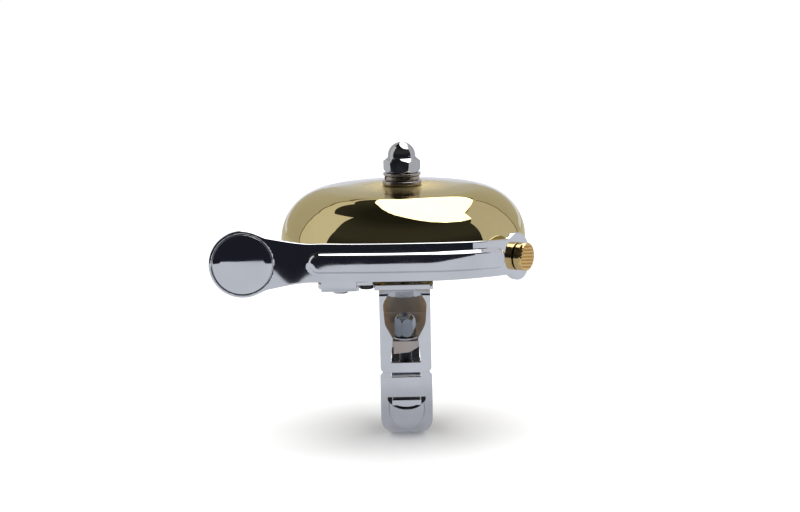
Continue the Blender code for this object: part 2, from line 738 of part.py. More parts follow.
def rib_half(s):
    """Half the height of the pressed rib, which has round ends: 0 beyond them."""
    beyond = max(RIB_FROM + RIB_HALF - s, s - RIB_TO + RIB_HALF, 0)
    return math.sqrt(max(RIB_HALF**2 - beyond**2, 0))


def lever_lengths(steps):
    """Lengths along the strip, close together round its two ends and the rib's."""
    quarter = [math.radians(a) for a in range(0, 91, 10)]
    first = [PAD_S - PAD_RADIUS * math.cos(a) for a in quarter]
    last = [END_S + END_RADIUS * math.sin(a) for a in quarter]
    rib_ends = [RIB_FROM + RIB_HALF * (1 - math.cos(a)) for a in quarter[1::2]]
    rib_ends += [RIB_TO - RIB_HALF * (1 - math.cos(a)) for a in quarter[1::2]]
    between = [first[-1] + (last[0] - first[-1]) * k / steps for k in range(1, steps)]
    between = [s for s in between if min(abs(s - end) for end in rib_ends) > 0.7 * MM]
    return sorted(first + between + rib_ends + last)


def lever_rows(s):
    """Heights of the strip's section from its middle line, each with how far the rib stands out there."""
    half, raised = lever_half(s), rib_half(s)
    base = min(max(raised, 0.3 * MM), 0.5 * half) if RIB_FROM < s < RIB_TO else 0.5 * half
    tall = RIB_HEIGHT * raised / RIB_HALF if raised else 0.0
    rise = [(0, 1.0), (0.45, 1.0), (0.82, 0.8), (1.0, 0.0)]
    upper = [(base * share, tall * part) for share, part in rise]
    upper += [((base + half) / 2, 0.0), (half, 0.0)]
    return [(-height, out) for height, out in upper[:0:-1]] + upper


def make_lever():
    """The lever: a pressed strip on edge round the dome, with a flange that turns on the rivet."""
    lengths = lever_lengths(24)
    rows = len(lever_rows(0)) - 1
    mesh = bpy.data.meshes.new("lever_arm")
    work = bmesh.new()
    bmesh.ops.create_grid(work, x_segments=len(lengths) - 1, y_segments=rows, size=1)
    for vert in work.verts:
        s = lengths[round((vert.co.x + 1) / 2 * (len(lengths) - 1))]
        height, out = lever_rows(s)[round((vert.co.y + 1) / 2 * rows)]
        spot, outward = lever_spot(s)
        vert.co = spot + outward * out + Vector((0, 0, lever_middle(s) + height))
    bmesh.ops.remove_doubles(work, verts=work.verts, dist=0.001 * MM)
    work.to_mesh(mesh)
    work.free()
    lever = add_mesh("lever_arm", mesh)
    skin = lever.modifiers.new("thickness", "SOLIDIFY")
    skin.thickness = SHEET
    skin.offset = 0
    applied(lever)
    join(lever, make_flange())
    face = LEVER_Y - SHEET / 2
    recess = extruded(
        "recess", [(PAD_S + x, PAD_Z + z) for x, z in arc((0, 0), MEDALLION + 0.15 * MM, 0, 350, 35)],
        0.7 * MM, IN_XZ, -face,
    )
    cut(lever, recess)
    cut(lever, along(cylinder("stud_way", 2.15 * MM, -4 * MM, 4 * MM), END_S))
    finished(applied(lever), "chrome")
    disc = [(PAD_S + x, PAD_Z + z) for x, z in arc((0, 0), MEDALLION, 0, 351, 39)]
    badge = extruded("thumb_medallion", disc, 0.3 * MM, IN_XZ, -face - 0.2 * MM)
    finished(badge, "chrome")


def make_flange():
    """The lever's foot: it bends in under the dome's rim to the pivot, with a lug for the bumper."""
    half = 4.1 * MM
    level = FLANGE_TOP - SHEET / 2
    bend = 1.3 * MM
    line = strip_line(
        (LEVER_Y, 30 * MM), -90, [30 * MM - level - bend, (bend, 90), PIVOT_Y - LEVER_Y - bend]
    )
    foot = extruded("flange", strip_outline(line, SHEET), half, IN_YZ, PIVOT_X)
    eye = extruded(
        "eye", arc((PIVOT_X, PIVOT_Y), 4.6 * MM, 0, 350, 35), SHEET / 2, IN_XY, level
    )
    join(foot, eye)
    lug_corners = [
        (PIVOT_X, -24.4 * MM, 0), (BUMPER_X + 1.6 * MM, -24.4 * MM, 0.8 * MM),
        (BUMPER_X + 1.6 * MM, BUMPER_Y - 1.95 * MM, 0.8 * MM), (PIVOT_X, BUMPER_Y - 1.95 * MM, 0),
    ]
    join(foot, extruded("lug", rounded(lug_corners), SHEET / 2, IN_XY, level))
    cut(foot, cylinder("bush_way", 2.45 * MM, 20 * MM, 30 * MM, (PIVOT_X, PIVOT_Y)))
    cut(foot, cylinder("leg_way", 0.75 * MM, 20 * MM, 28 * MM, (LEG_X, LEG_Y), 16))
    return applied(foot)


def along(obj, s):
    """Turns a piece made about Z to the way the strip's outer face looks at s."""
    spot, outward = lever_spot(s)
    obj.location = spot + Vector((0, 0, lever_middle(s)))
    obj.rotation_mode = "QUATERNION"
    obj.rotation_quaternion = outward.to_track_quat("Z", "Y")
    return obj


def make_striker():
    """The brass striker on the inside of the strip, and the serrated button that is pressed on its stud."""
    inner = -SHEET / 2 - GAP
    spot, _ = lever_spot(END_S)
    reach = spot.length - DOME_RADIUS - 1.1 * MM
    stud = SHEET / 2 + 1.6 * MM
    profile = [(0, stud), (2.0 * MM, stud), (2.0 * MM, inner), (3.0 * MM, inner)]
    profile += [(3.0 * MM, -reach + 0.7 * MM), (2.4 * MM, -reach + 0.2 * MM), (0, -reach)]
    head = along(turned("striker_head", profile, steps=32), END_S)
    finished(applied(head), "brass")
    foot = SHEET / 2 + GAP
    tip = foot + 2.4 * MM
    body = [
        (0, tip), (3.0 * MM, tip), (3.4 * MM, tip - 0.4 * MM), (3.4 * MM, foot), (2.15 * MM, foot),
        (2.15 * MM, foot + 1.6 * MM), (0, foot + 1.6 * MM),
    ]
    button = along(turned("striker_button", body, steps=40), END_S)
    pitch = 0.8 * MM
    for k in range(-3, 4):
        groove = block("groove", (-5 * MM, -0.18 * MM, -0.3 * MM), (5 * MM, 0.18 * MM, 0.3 * MM))
        groove.data.transform(Matrix.Rotation(math.radians(45), 4, "X"))
        groove.data.transform(Matrix.Translation((0, k * pitch, tip + 0.05 * MM)))
        cut(button, along(groove, END_S))
    finished(applied(button), "brass")


def make_pivot():
    """The rivet that the lever swings on, the bush and cap washer on it, and the rubber stop."""
    at = (PIVOT_X, PIVOT_Y)
    low = PLATE_BOTTOM - GAP
    bush_top, cap_top = 31.0 * MM, 31.7 * MM
    head = cap_top + GAP
    profile = [
        (0, head + 0.9 * MM), (1.5 * MM, head + 0.8 * MM), (2.5 * MM, head), (1.5 * MM, head),
        (1.5 * MM, low), (2.0 * MM, low), (2.0 * MM, low - 0.7 * MM), (1.6 * MM, low - 1.1 * MM),
        (0, low - 1.1 * MM),
    ]
    finished(applied(turned("pivot_rivet", profile, (*at, 0), 32)), "steel")
    bush = ring("pivot_bush", 2.3 * MM, 1.65 * MM, PLATE_TOP + GAP, bush_top, at, 32)
    finished(applied(bush), "brass")
    cap = ring("spring_cap", 4.0 * MM, 1.65 * MM, bush_top + 0.1 * MM, cap_top, at, 32)
    finished(applied(cap), "steel")
    stop_radius, stop_top, stop_low = 1.6 * MM, PLATE_TOP + 2.0 * MM, PLATE_BOTTOM + 0.1 * MM
    stop = [
        (0, stop_top), (1.3 * MM, stop_top), (stop_radius, stop_top - 0.3 * MM),
        (stop_radius, stop_low + 0.2 * MM), (1.4 * MM, stop_low), (0, stop_low),
    ]
    finished(applied(turned("rest_bumper", stop, (BUMPER_X, BUMPER_Y, 0), 24)), "rubber")


def make_spring():
    """The torsion spring round the bush, one leg in the lever's flange, the other on the plate's tab."""
    wire, coil = 0.45 * MM, 3.3 * MM
    low, pitch, turns = 27.25 * MM, 1.0 * MM, 3.25
    steps = 16
    points = [Vector((LEG_X, LEG_Y, FLANGE_TOP - 1.0 * MM)), Vector((LEG_X, LEG_Y, low - 0.5 * MM))]
    points += [Vector((LEG_X, LEG_Y + 0.4 * MM, low - 0.1 * MM)), Vector((LEG_X, LEG_Y + 1.0 * MM, low))]
    for k in range(round(turns * steps) + 1):
        angle = 2 * math.pi * k / steps
        x, y = PIVOT_X + coil * math.cos(angle), PIVOT_Y + coil * math.sin(angle)
        points.append(Vector((x, y, low + pitch * k / steps)))
    points.append(points[-1] + Vector((-7.0 * MM, 0, 0)))
    curve = bpy.data.curves.new("return_spring", "CURVE")
    curve.dimensions = "3D"
    curve.bevel_depth = wire
    curve.bevel_resolution = 2
    curve.use_fill_caps = True
    spline = curve.splines.new("POLY")
    spline.points.add(len(points) - 1)
    for point, spot in zip(spline.points, points):
        point.co = (*spot, 1)
    guide = bpy.data.objects.new("return_spring", curve)
    BELL.objects.link(guide)
    finished(as_mesh(guide), "steel")


make_bracket()
make_saddle()
liner("saddle_liner", SADDLE_FROM, SADDLE_TO)
make_strap()
liner("strap_liner", 205, 330)
make_link()
make_screw()
make_hinge_pin()
make_plate()
make_post()
make_dome()
make_crown_stack()
make_lever()
make_striker()
make_pivot()
make_spring()

hang(
    joint_empty("lever_pivot", (PIVOT_X, PIVOT_Y, FLANGE_TOP - SHEET / 2)),
    "lever_arm", "thumb_medallion", "striker_head", "striker_button",
)
hang(joint_empty("screw_axis", (0, SCREW_Y, 10 * MM)), "clamp_screw")
hang(joint_empty("jaw_pivot", (0, PIN_Y, PIN_Z)), "clamp_link", "clamp_strap", "strap_liner")
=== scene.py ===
import json
from math import asin, ceil, copysign, cos, exp, hypot, pi, radians, sin, sqrt, tan

import bmesh
import bpy
from mathutils import Matrix, Vector

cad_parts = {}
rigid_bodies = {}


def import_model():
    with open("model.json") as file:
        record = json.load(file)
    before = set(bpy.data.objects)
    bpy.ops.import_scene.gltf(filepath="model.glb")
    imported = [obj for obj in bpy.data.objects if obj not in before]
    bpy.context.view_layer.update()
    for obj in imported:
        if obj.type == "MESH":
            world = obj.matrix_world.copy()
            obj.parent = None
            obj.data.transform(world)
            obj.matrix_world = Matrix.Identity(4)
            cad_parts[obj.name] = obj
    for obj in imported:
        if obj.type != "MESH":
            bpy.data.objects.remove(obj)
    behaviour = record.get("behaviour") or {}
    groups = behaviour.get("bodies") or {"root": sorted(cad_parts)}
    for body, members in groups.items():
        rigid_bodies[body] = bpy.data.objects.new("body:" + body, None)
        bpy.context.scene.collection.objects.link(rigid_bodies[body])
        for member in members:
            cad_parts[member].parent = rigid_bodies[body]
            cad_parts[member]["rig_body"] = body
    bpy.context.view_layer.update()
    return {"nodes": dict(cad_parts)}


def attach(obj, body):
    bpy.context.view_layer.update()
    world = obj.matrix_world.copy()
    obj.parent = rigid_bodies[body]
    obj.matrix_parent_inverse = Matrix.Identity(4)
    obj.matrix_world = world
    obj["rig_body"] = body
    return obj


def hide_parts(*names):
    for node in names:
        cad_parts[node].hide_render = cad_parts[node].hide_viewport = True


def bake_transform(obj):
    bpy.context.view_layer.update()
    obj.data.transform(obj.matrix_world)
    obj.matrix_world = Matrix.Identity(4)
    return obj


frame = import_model()

# Handlebar bell: fine shapes, finishes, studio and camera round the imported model.
# Metres, +Z up. X runs along the handlebar, -Y is the side that the lever wraps round.

MM = 0.001
GAP = 0.2 * MM  # between pieces that touch on the real bell

# The handlebar and the clamp round it
BAR_RADIUS = 11.1 * MM
LINER = 1.0 * MM
SHEET = 1.4 * MM
LINK_SHEET = 1.0 * MM
CLAMP_HALF = 6.15 * MM
STRAP_HALF = 3.5 * MM
METAL_RADIUS = BAR_RADIUS + LINER + 0.3 * MM
FRONT = -17.3 * MM  # outer face of the bracket's front leg
SEAM = 2.5 * MM  # height where the link hangs below the bracket
WEB_TOP = 23.4 * MM
PIN_Y, PIN_Z = 16.6 * MM, 4.3 * MM
PIN_RADIUS = 1.2 * MM
KNUCKLE = 2.5 * MM
SCREW_Y = -12.95 * MM
SCREW_RADIUS = 1.5 * MM
TAB_TOP = 4.6 * MM
SADDLE_FROM, SADDLE_TO = 46, 134  # degrees of the saddle's arc
SADDLE_BEND = 1.0 * MM
LINK_CENTRE = -1.8 * MM
LINK_MIDDLE = LINK_CENTRE - FRONT - LINK_SHEET / 2
SLIT_TOP, SLIT_BOTTOM = -3.6 * MM, -6.4 * MM
POUCH_RIM = -4.0 * MM

# The plate, the post and the dome
PLATE_BOTTOM, PLATE_TOP = 23.6 * MM, 25.0 * MM
POST_RADIUS = 2.5 * MM
DOME_RADIUS = 30.0 * MM
DOME_TOP, DOME_RIM = 45.8 * MM, 27.3 * MM
DOME_WALL = 1.3 * MM
CROWN_CURVE = 300 * MM
SHOULDER = 12.5 * MM
NUT_BOTTOM = 49.0 * MM
NUT_TOP = 56.4 * MM
NUT_FLATS = 8.0 * MM
NUT_TURN = -9  # degrees from having a flat facing -Y

# The lever
PIVOT_X, PIVOT_Y = -15.3 * MM, -17.0 * MM
LEVER_Y = -33.3 * MM  # middle of the strip's thickness where it is straight
BEND_FROM = 6.3 * MM
BEND_RADIUS = 20.6 * MM
BEND_ANGLE = radians(58)
PAD_S, PAD_Z, PAD_RADIUS = -37.6 * MM, 32.5 * MM, 7.85 * MM
END_RADIUS = 5.75 * MM
END_S = BEND_FROM + BEND_RADIUS * BEND_ANGLE + END_RADIUS
STRIP_HALF = 4.45 * MM
RIB_HALF, RIB_HEIGHT = 2.65 * MM, 0.88 * MM
RIB_FROM, RIB_TO = -22.5 * MM, 26.0 * MM
FLANGE_TOP = 26.7 * MM
MEDALLION = 7.0 * MM
LEVER_EDGE = 0.3 * MM  # rounding of the strip's edges
NECK_S, NECK_LEAN, RIB_LEAN = -26.0 * MM, 0.015, 0.003  # where the face leans back, and its slopes
GROOVE_TURN = radians(-8)
BUMPER_X, BUMPER_Y = -9.0 * MM, -19.6 * MM
LEG_X, LEG_Y = PIVOT_X + 3.3 * MM, -23.6 * MM

# Where an outline's own x, y and depth point in the world
IN_XY = Matrix.Identity(4)
IN_XZ = Matrix.Rotation(radians(90), 4, "X")
IN_YZ = Matrix(((0, 0, 1, 0), (1, 0, 0, 0), (0, 1, 0, 0), (0, 0, 0, 1)))


# ---------------------------------------------------------------- outlines


def arc(centre, radius, start, end, steps):
    """Points on an arc, with start and end in degrees."""
    angles = [radians(start + (end - start) * i / steps) for i in range(steps + 1)]
    return [(centre[0] + radius * cos(a), centre[1] + radius * sin(a)) for a in angles]


def rounded(corners, steps=6, closed=True):
    """An outline from (x, y, radius) corners, each rounded by an arc that touches both its sides."""
    points = []
    for i, (x, y, radius) in enumerate(corners):
        at_end = not closed and i in (0, len(corners) - 1)
        if radius == 0 or at_end:
            points.append((x, y))
            continue
        here = Vector((x, y))
        before = (Vector(corners[i - 1][:2]) - here).normalized()
        after = (Vector(corners[(i + 1) % len(corners)][:2]) - here).normalized()
        half = before.angle(after) / 2
        centre = here + (before + after).normalized() * radius / sin(half)
        first = here + before * radius / tan(half) - centre
        turn = first.angle_signed(here + after * radius / tan(half) - centre)
        for k in range(steps + 1):
            points.append(tuple(centre + Matrix.Rotation(-turn * k / steps, 2) @ first))
    return points


def strip_line(start, heading, moves):
    """The middle line of a bent strip. A move is a length to go, or (radius, degrees) to turn."""
    x, y = start
    angle = radians(heading)
    points = [(x, y)]
    for move in moves:
        if not isinstance(move, tuple):
            x, y = x + move * cos(angle), y + move * sin(angle)
            points.append((x, y))
            continue
        radius, degrees = move
        side = copysign(1, degrees)
        steps = max(6, round(abs(degrees) * (8 + 2 * radius / MM) / 90))
        cx, cy = x - side * radius * sin(angle), y + side * radius * cos(angle)
        for k in range(1, steps + 1):
            a = angle + radians(degrees) * k / steps
            points.append((cx + side * radius * sin(a), cy - side * radius * cos(a)))
        angle += radians(degrees)
        x, y = points[-1]
    return points


def strip_outline(line, thickness):
    """The closed outline of a strip whose middle line is given."""
    left, right = [], []
    for i, point in enumerate(line):
        here = Vector(point)
        back = (here - Vector(line[i - 1])).normalized() if i else None
        ahead = (Vector(line[i + 1]) - here).normalized() if i + 1 < len(line) else None
        along_line = ((back or ahead) + (ahead or back)).normalized()
        stretch = 1 / max(0.5, along_line.dot(ahead or back))
        side = Vector((-along_line.y, along_line.x)) * thickness / 2 * stretch
        left.append(tuple(here + side))
        right.append(tuple(here - side))
    return left + right[::-1]


def cap_line(radius, height, rise, step=5):
    """A quarter of an oval: from the top of a domed end, rise above height, down to its widest."""
    angles = [radians(a) for a in range(0, 91, step)]
    return [(radius * sin(a), height + rise * cos(a)) for a in angles]


def half_moon(half, top, side, bottom):
    """A slot with a straight top edge, short sides and a round lower edge."""
    drop = top - side - bottom
    angles = [pi * k / 28 for k in range(29)]
    edge = [(half * cos(a), top - side - drop * sin(a)) for a in angles]
    return [(-half, top), (half, top)] + edge


# ---------------------------------------------------------------- solids


def linked(name, data):
    obj = bpy.data.objects.new(name, data)
    bpy.context.scene.collection.objects.link(obj)
    return obj


def mesh_object(name, work):
    """A mesh object from a bmesh, which is freed."""
    mesh = bpy.data.meshes.new(name)
    work.to_mesh(mesh)
    work.free()
    return linked(name, mesh)


def new_object(name, work):
    """A closed piece from a bmesh, with its faces turned outwards."""
    bmesh.ops.recalc_face_normals(work, faces=work.faces)
    return mesh_object(name, work)


def prism(name, outline, half, where=IN_XY, centre=0.0):
    """A flat outline given a thickness of twice half, about centre, along the depth of its frame."""
    work = bmesh.new()
    base = work.faces.new([work.verts.new((x, y, centre - half)) for x, y in outline])
    grown = bmesh.ops.extrude_face_region(work, geom=[base])["geom"]
    tops = [item for item in grown if isinstance(item, bmesh.types.BMVert)]
    bmesh.ops.translate(work, verts=tops, vec=(0, 0, 2 * half))
    bmesh.ops.transform(work, matrix=where, verts=work.verts)
    bmesh.ops.remove_doubles(work, verts=work.verts, dist=0.001 * MM)
    return new_object(name, work)


def lathe(name, profile, at=(0, 0, 0), steps=96, closed=False):
    """A piece turned about Z from (radius, height) points."""
    work = bmesh.new()
    verts = [work.verts.new((radius, 0, height)) for radius, height in profile]
    pairs = list(zip(verts, verts[1:])) + ([(verts[-1], verts[0])] if closed else [])
    edges = [work.edges.new(pair) for pair in pairs]
    bmesh.ops.spin(
        work, geom=verts + edges, cent=(0, 0, 0), axis=(0, 0, 1), angle=2 * pi, steps=steps,
        use_merge=True,
    )
    bmesh.ops.remove_doubles(work, verts=work.verts, dist=0.0005 * MM)
    bmesh.ops.translate(work, verts=work.verts, vec=at)
    return new_object(name, work)


def ring(name, outer, inner, bottom, top, at=(0, 0), edge=0.12 * MM):
    """A washer, bush or sleeve with rounded edges."""
    corners = [(inner, top, edge / 2), (outer, top, edge), (outer, bottom, edge), (inner, bottom, edge / 2)]
    return lathe(name, rounded(corners), (*at, 0), closed=True)


def turned(name, corners, steps=8, at=(0, 0), above=()):
    """A solid turned piece from (radius, height, rounding) corners, with any sharp points above them."""
    return lathe(name, list(above) + rounded(corners, steps, closed=False), (*at, 0))


def cylinder(name, radius, bottom, top, at=(0, 0), steps=64):
    return lathe(name, [(0, top), (radius, top), (radius, bottom), (0, bottom)], (*at, 0), steps)


def block(name, low, high):
    work = bmesh.new()
    size = Vector(high) - Vector(low)
    place = Matrix.Translation((Vector(high) + Vector(low)) / 2) @ Matrix.Diagonal((*size, 1))
    bmesh.ops.create_cube(work, size=1, matrix=place)
    return new_object(name, work)


def evaluated_mesh(obj):
    bpy.context.view_layer.update()
    return bpy.data.meshes.new_from_object(obj.evaluated_get(bpy.context.evaluated_depsgraph_get()))


def applied(obj):
    """The object with its modifiers made part of its mesh."""
    mesh = evaluated_mesh(obj)
    obj.modifiers.clear()
    obj.data = mesh
    return obj


def boolean(obj, tool, operation):
    """Cuts obj with tool, joins tool to it or keeps what they share. The tool is used up."""
    modifier = obj.modifiers.new(operation, "BOOLEAN")
    modifier.operation = operation
    modifier.object = tool
    applied(obj)
    bpy.data.objects.remove(tool)
    return obj


def cut(obj, tool):
    return boolean(obj, tool, "DIFFERENCE")


def join(obj, tool):
    return boolean(obj, tool, "UNION")


def hexagon(across_flats, turn, edge):
    """A hexagon's outline with rounded corners, turned by so many degrees from having a flat facing -Y."""
    radius = across_flats / sqrt(3)
    angles = [radians(60 * k + turn) for k in range(6)]
    return rounded([(radius * cos(a), radius * sin(a), edge) for a in angles], 4)


def hexed(obj, across_flats, turn, at=(0, 0), edge=0.2 * MM):
    """Keeps what lies inside a hexagonal bar along Z."""
    outline = [(x + at[0], y + at[1]) for x, y in hexagon(across_flats, turn, edge)]
    return boolean(obj, prism("hexagon", outline, 100 * MM), "INTERSECT")


def softened(obj, width=0.16 * MM, segments=3, angle=32):
    """Rounds the edges of a piece, as pressing and tumbling leave them."""
    modifier = obj.modifiers.new("edges", "BEVEL")
    modifier.width = width
    modifier.segments = segments
    modifier.limit_method = "ANGLE"
    modifier.angle_limit = radians(angle)
    modifier.miter_outer = "MITER_ARC"
    return obj


def stands_for(obj, node, material, weighted=True, blended=False):
    """Finishes a piece, puts it on its node's body unless it is blended, and hides the node."""
    obj.name = node + "_fine"
    applied(obj)
    obj.data.name = obj.name
    obj.data.materials.clear()
    obj.data.materials.append(material)
    obj.data.shade_smooth()
    obj.data.set_sharp_from_angle(angle=radians(50))
    if weighted:
        normals = obj.modifiers.new("normals", "WEIGHTED_NORMAL")
        normals.keep_sharp = True
    if not blended:
        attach(obj, frame["nodes"][node]["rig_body"])
    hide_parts(node)
    return obj


# ---------------------------------------------------------------- finishes


def fill_ramp(node, stops):
    """Gives a colour ramp its (position, colour) or (position, grey) stops."""
    elements = node.color_ramp.elements
    while len(elements) < len(stops):
        elements.new(0.5)
    for element, (position, colour) in zip(elements, stops):
        element.position = position
        element.color = (*colour, 1) if isinstance(colour, tuple) else (colour, colour, colour, 1)


def new_material(name):
    made = bpy.data.materials.new(name)
    made.use_nodes = True
    return made, made.node_tree


class Finish:
    """Builds a node material for one metal or rubber, with its wear at real scale."""

    def __init__(self, name, metallic, roughness):
        self.made, self.tree = new_material(name)
        self.shader = self.tree.nodes["Principled BSDF"]
        self.shader.inputs["Metallic"].default_value = metallic
        self.shader.inputs["Roughness"].default_value = roughness
        self.where = self.tree.nodes.new("ShaderNodeTexCoord").outputs["Object"]

    def stretched(self, scale):
        """Object coordinates scaled along each axis, for marks with a direction."""
        node = self.tree.nodes.new("ShaderNodeMapping")
        node.inputs["Scale"].default_value = scale
        self.tree.links.new(self.where, node.inputs["Vector"])
        return node.outputs["Vector"]

    def away(self, scale):
        """Distance from the origin, along the axes whose scale isn't 0."""
        node = self.tree.nodes.new("ShaderNodeVectorMath")
        node.operation = "LENGTH"
        self.tree.links.new(self.stretched(scale), node.inputs[0])
        return node.outputs["Value"]

    def noise(self, scale, detail=4.0, where=None):
        node = self.tree.nodes.new("ShaderNodeTexNoise")
        node.inputs["Scale"].default_value = scale
        node.inputs["Detail"].default_value = detail
        self.tree.links.new(where or self.where, node.inputs["Vector"])
        return node.outputs["Fac"]

    def ramp(self, value, stops):
        """Maps a value to colours or greys at (position, colour) stops."""
        node = self.tree.nodes.new("ShaderNodeValToRGB")
        fill_ramp(node, stops)
        self.tree.links.new(value, node.inputs["Fac"])
        return node.outputs["Color"]

    def sum(self, a, b):
        node = self.tree.nodes.new("ShaderNodeMath")
        node.operation = "ADD"
        self.tree.links.new(a, node.inputs[0])
        self.tree.links.new(b, node.inputs[1])
        return node.outputs["Value"]

    def colour(self, where, stops):
        self.tree.links.new(self.ramp(where, stops), self.shader.inputs["Base Color"])

    def roughness(self, value):
        self.tree.links.new(value, self.shader.inputs["Roughness"])

    def bump(self, value, depth, strength=1.0):
        node = self.tree.nodes.new("ShaderNodeBump")
        node.inputs["Strength"].default_value = strength
        node.inputs["Distance"].default_value = depth
        self.tree.links.new(value, node.inputs["Height"])
        self.tree.links.new(node.outputs["Normal"], self.shader.inputs["Normal"])


def polished(name, tone, worn, clean, smeared, ripple):
    """A bright metal: its tone drifts a little, handling leaves faint smears, and the polish ripples."""
    finish = Finish(name, 1.0, clean)
    drift = finish.noise(90, 3)
    finish.colour(drift, [(0.35, worn), (0.65, tone)])
    smears = finish.noise(55, 5, finish.stretched((1.0, 1.0, 2.2)))
    fine = finish.noise(2600, 2)
    level = finish.ramp(smears, [(0.45, clean), (0.75, smeared)])
    grain = finish.ramp(fine, [(0.3, 0.0), (0.9, clean / 3)])
    finish.roughness(finish.sum(level, grain))
    finish.bump(finish.sum(finish.noise(160, 2), grain), ripple)
    return finish.made


def spun(name, tone, worn, clean, smeared, ripple):
    """The dome's brass: polished, with the turned middle of its crown left duller."""
    finish = Finish(name, 1.0, clean)
    finish.shader.inputs["Specular Tint"].default_value = (0.96, 0.90, 0.74, 1)
    finish.colour(finish.noise(90, 3), [(0.35, worn), (0.65, tone)])
    away = finish.away((30.0, 30.0, 0.0))
    middle = finish.ramp(away, [(0.14, 0.36), (0.33, 0.20), (0.48, 0.06), (0.60, 0.0)])
    smears = finish.ramp(finish.noise(55, 5), [(0.45, clean), (0.75, smeared)])
    finish.roughness(finish.sum(middle, smears))
    finish.bump(finish.noise(160, 2), ripple)
    return finish.made


def passivated_with_painted_reflection(name, middle, edge, clean, smeared):
    """The inside of the clamp: dull plate, grey along its middle and golden brown towards its edges. The grey
    and yellow passivate tone is the plate's own, and the golden brown towards the sides is a painted
    reflection on its side walls.
    """
    finish = Finish(name, 1.0, clean)
    # Distance from the middle along x sets the colour: the golden brown towards the sides is painted
    # reflection.
    painted_reflection_aside = finish.away((100.0, 0.0, 0.0))
    drift = finish.ramp(finish.noise(420, 4), [(0.3, 0.0), (0.8, 0.16)])
    finish.colour(finish.sum(painted_reflection_aside, drift), [(0.36, middle), (0.60, edge)])
    finish.roughness(finish.ramp(finish.noise(160, 4), [(0.35, clean), (0.75, smeared)]))
    finish.bump(finish.noise(600, 3), 0.004 * MM)
    return finish.made


def rubbery(name, tone, dusty):
    finish = Finish(name, 0.0, 0.6)
    finish.colour(finish.noise(700, 5), [(0.4, tone), (0.75, dusty)])
    finish.roughness(finish.ramp(finish.noise(1500, 4), [(0.3, 0.5), (0.8, 0.72)]))
    finish.bump(finish.noise(3000, 4), 0.02 * MM, 0.6)
    return finish.made


BRASS = spun("polished_brass", (0.66, 0.555, 0.285), (0.62, 0.515, 0.255), 0.02, 0.05, 0.0008 * MM)
YELLOW = polished("yellow_brass", (0.80, 0.58, 0.26), (0.68, 0.46, 0.18), 0.12, 0.22, 0.004 * MM)
CHROME = polished("chrome_plate", (0.70, 0.715, 0.75), (0.66, 0.675, 0.71), 0.012, 0.045, 0.0010 * MM)
SATIN = polished("satin_plate", (0.72, 0.73, 0.76), (0.64, 0.65, 0.68), 0.045, 0.11, 0.003 * MM)
NUTTED = polished("nut_plate", (0.56, 0.56, 0.565), (0.46, 0.46, 0.465), 0.07, 0.13, 0.002 * MM)
WASHED = polished("washer_plate", (0.52, 0.48, 0.44), (0.40, 0.36, 0.33), 0.20, 0.32, 0.006 * MM)
ZINC = polished("zinc_plate", (0.56, 0.57, 0.60), (0.44, 0.45, 0.48), 0.18, 0.30, 0.006 * MM)
BOLTED = polished("bolt_plate", (0.27, 0.30, 0.34), (0.16, 0.18, 0.21), 0.12, 0.22, 0.005 * MM)
# Near black for the screw's shank below its seat: painted shade for the dark slot the shank stands in.
PAINTED_SHADE_SHANK = polished("painted_shade_thread", (0.045, 0.048, 0.055), (0.025, 0.027, 0.03), 0.30, 0.45, 0.005 * MM)
# Inside of the bracket: passivated plate, with painted reflection in golden brown towards the sides.
PASSIVATE_PAINTED_REFLECTION = passivated_with_painted_reflection("yellow_passivate_painted_reflection", (0.84, 0.83, 0.82), (0.88, 0.66, 0.40), 0.28, 0.44)
SADDLED = polished("saddle_plate", (0.66, 0.60, 0.56), (0.54, 0.47, 0.42), 0.30, 0.44, 0.006 * MM)
RUBBER = rubbery("black_rubber", (0.012, 0.012, 0.013), (0.04, 0.04, 0.042))
NYLON = rubbery("white_nylon", (0.62, 0.61, 0.57), (0.75, 0.74, 0.70))


# ---------------------------------------------------------------- the clamp


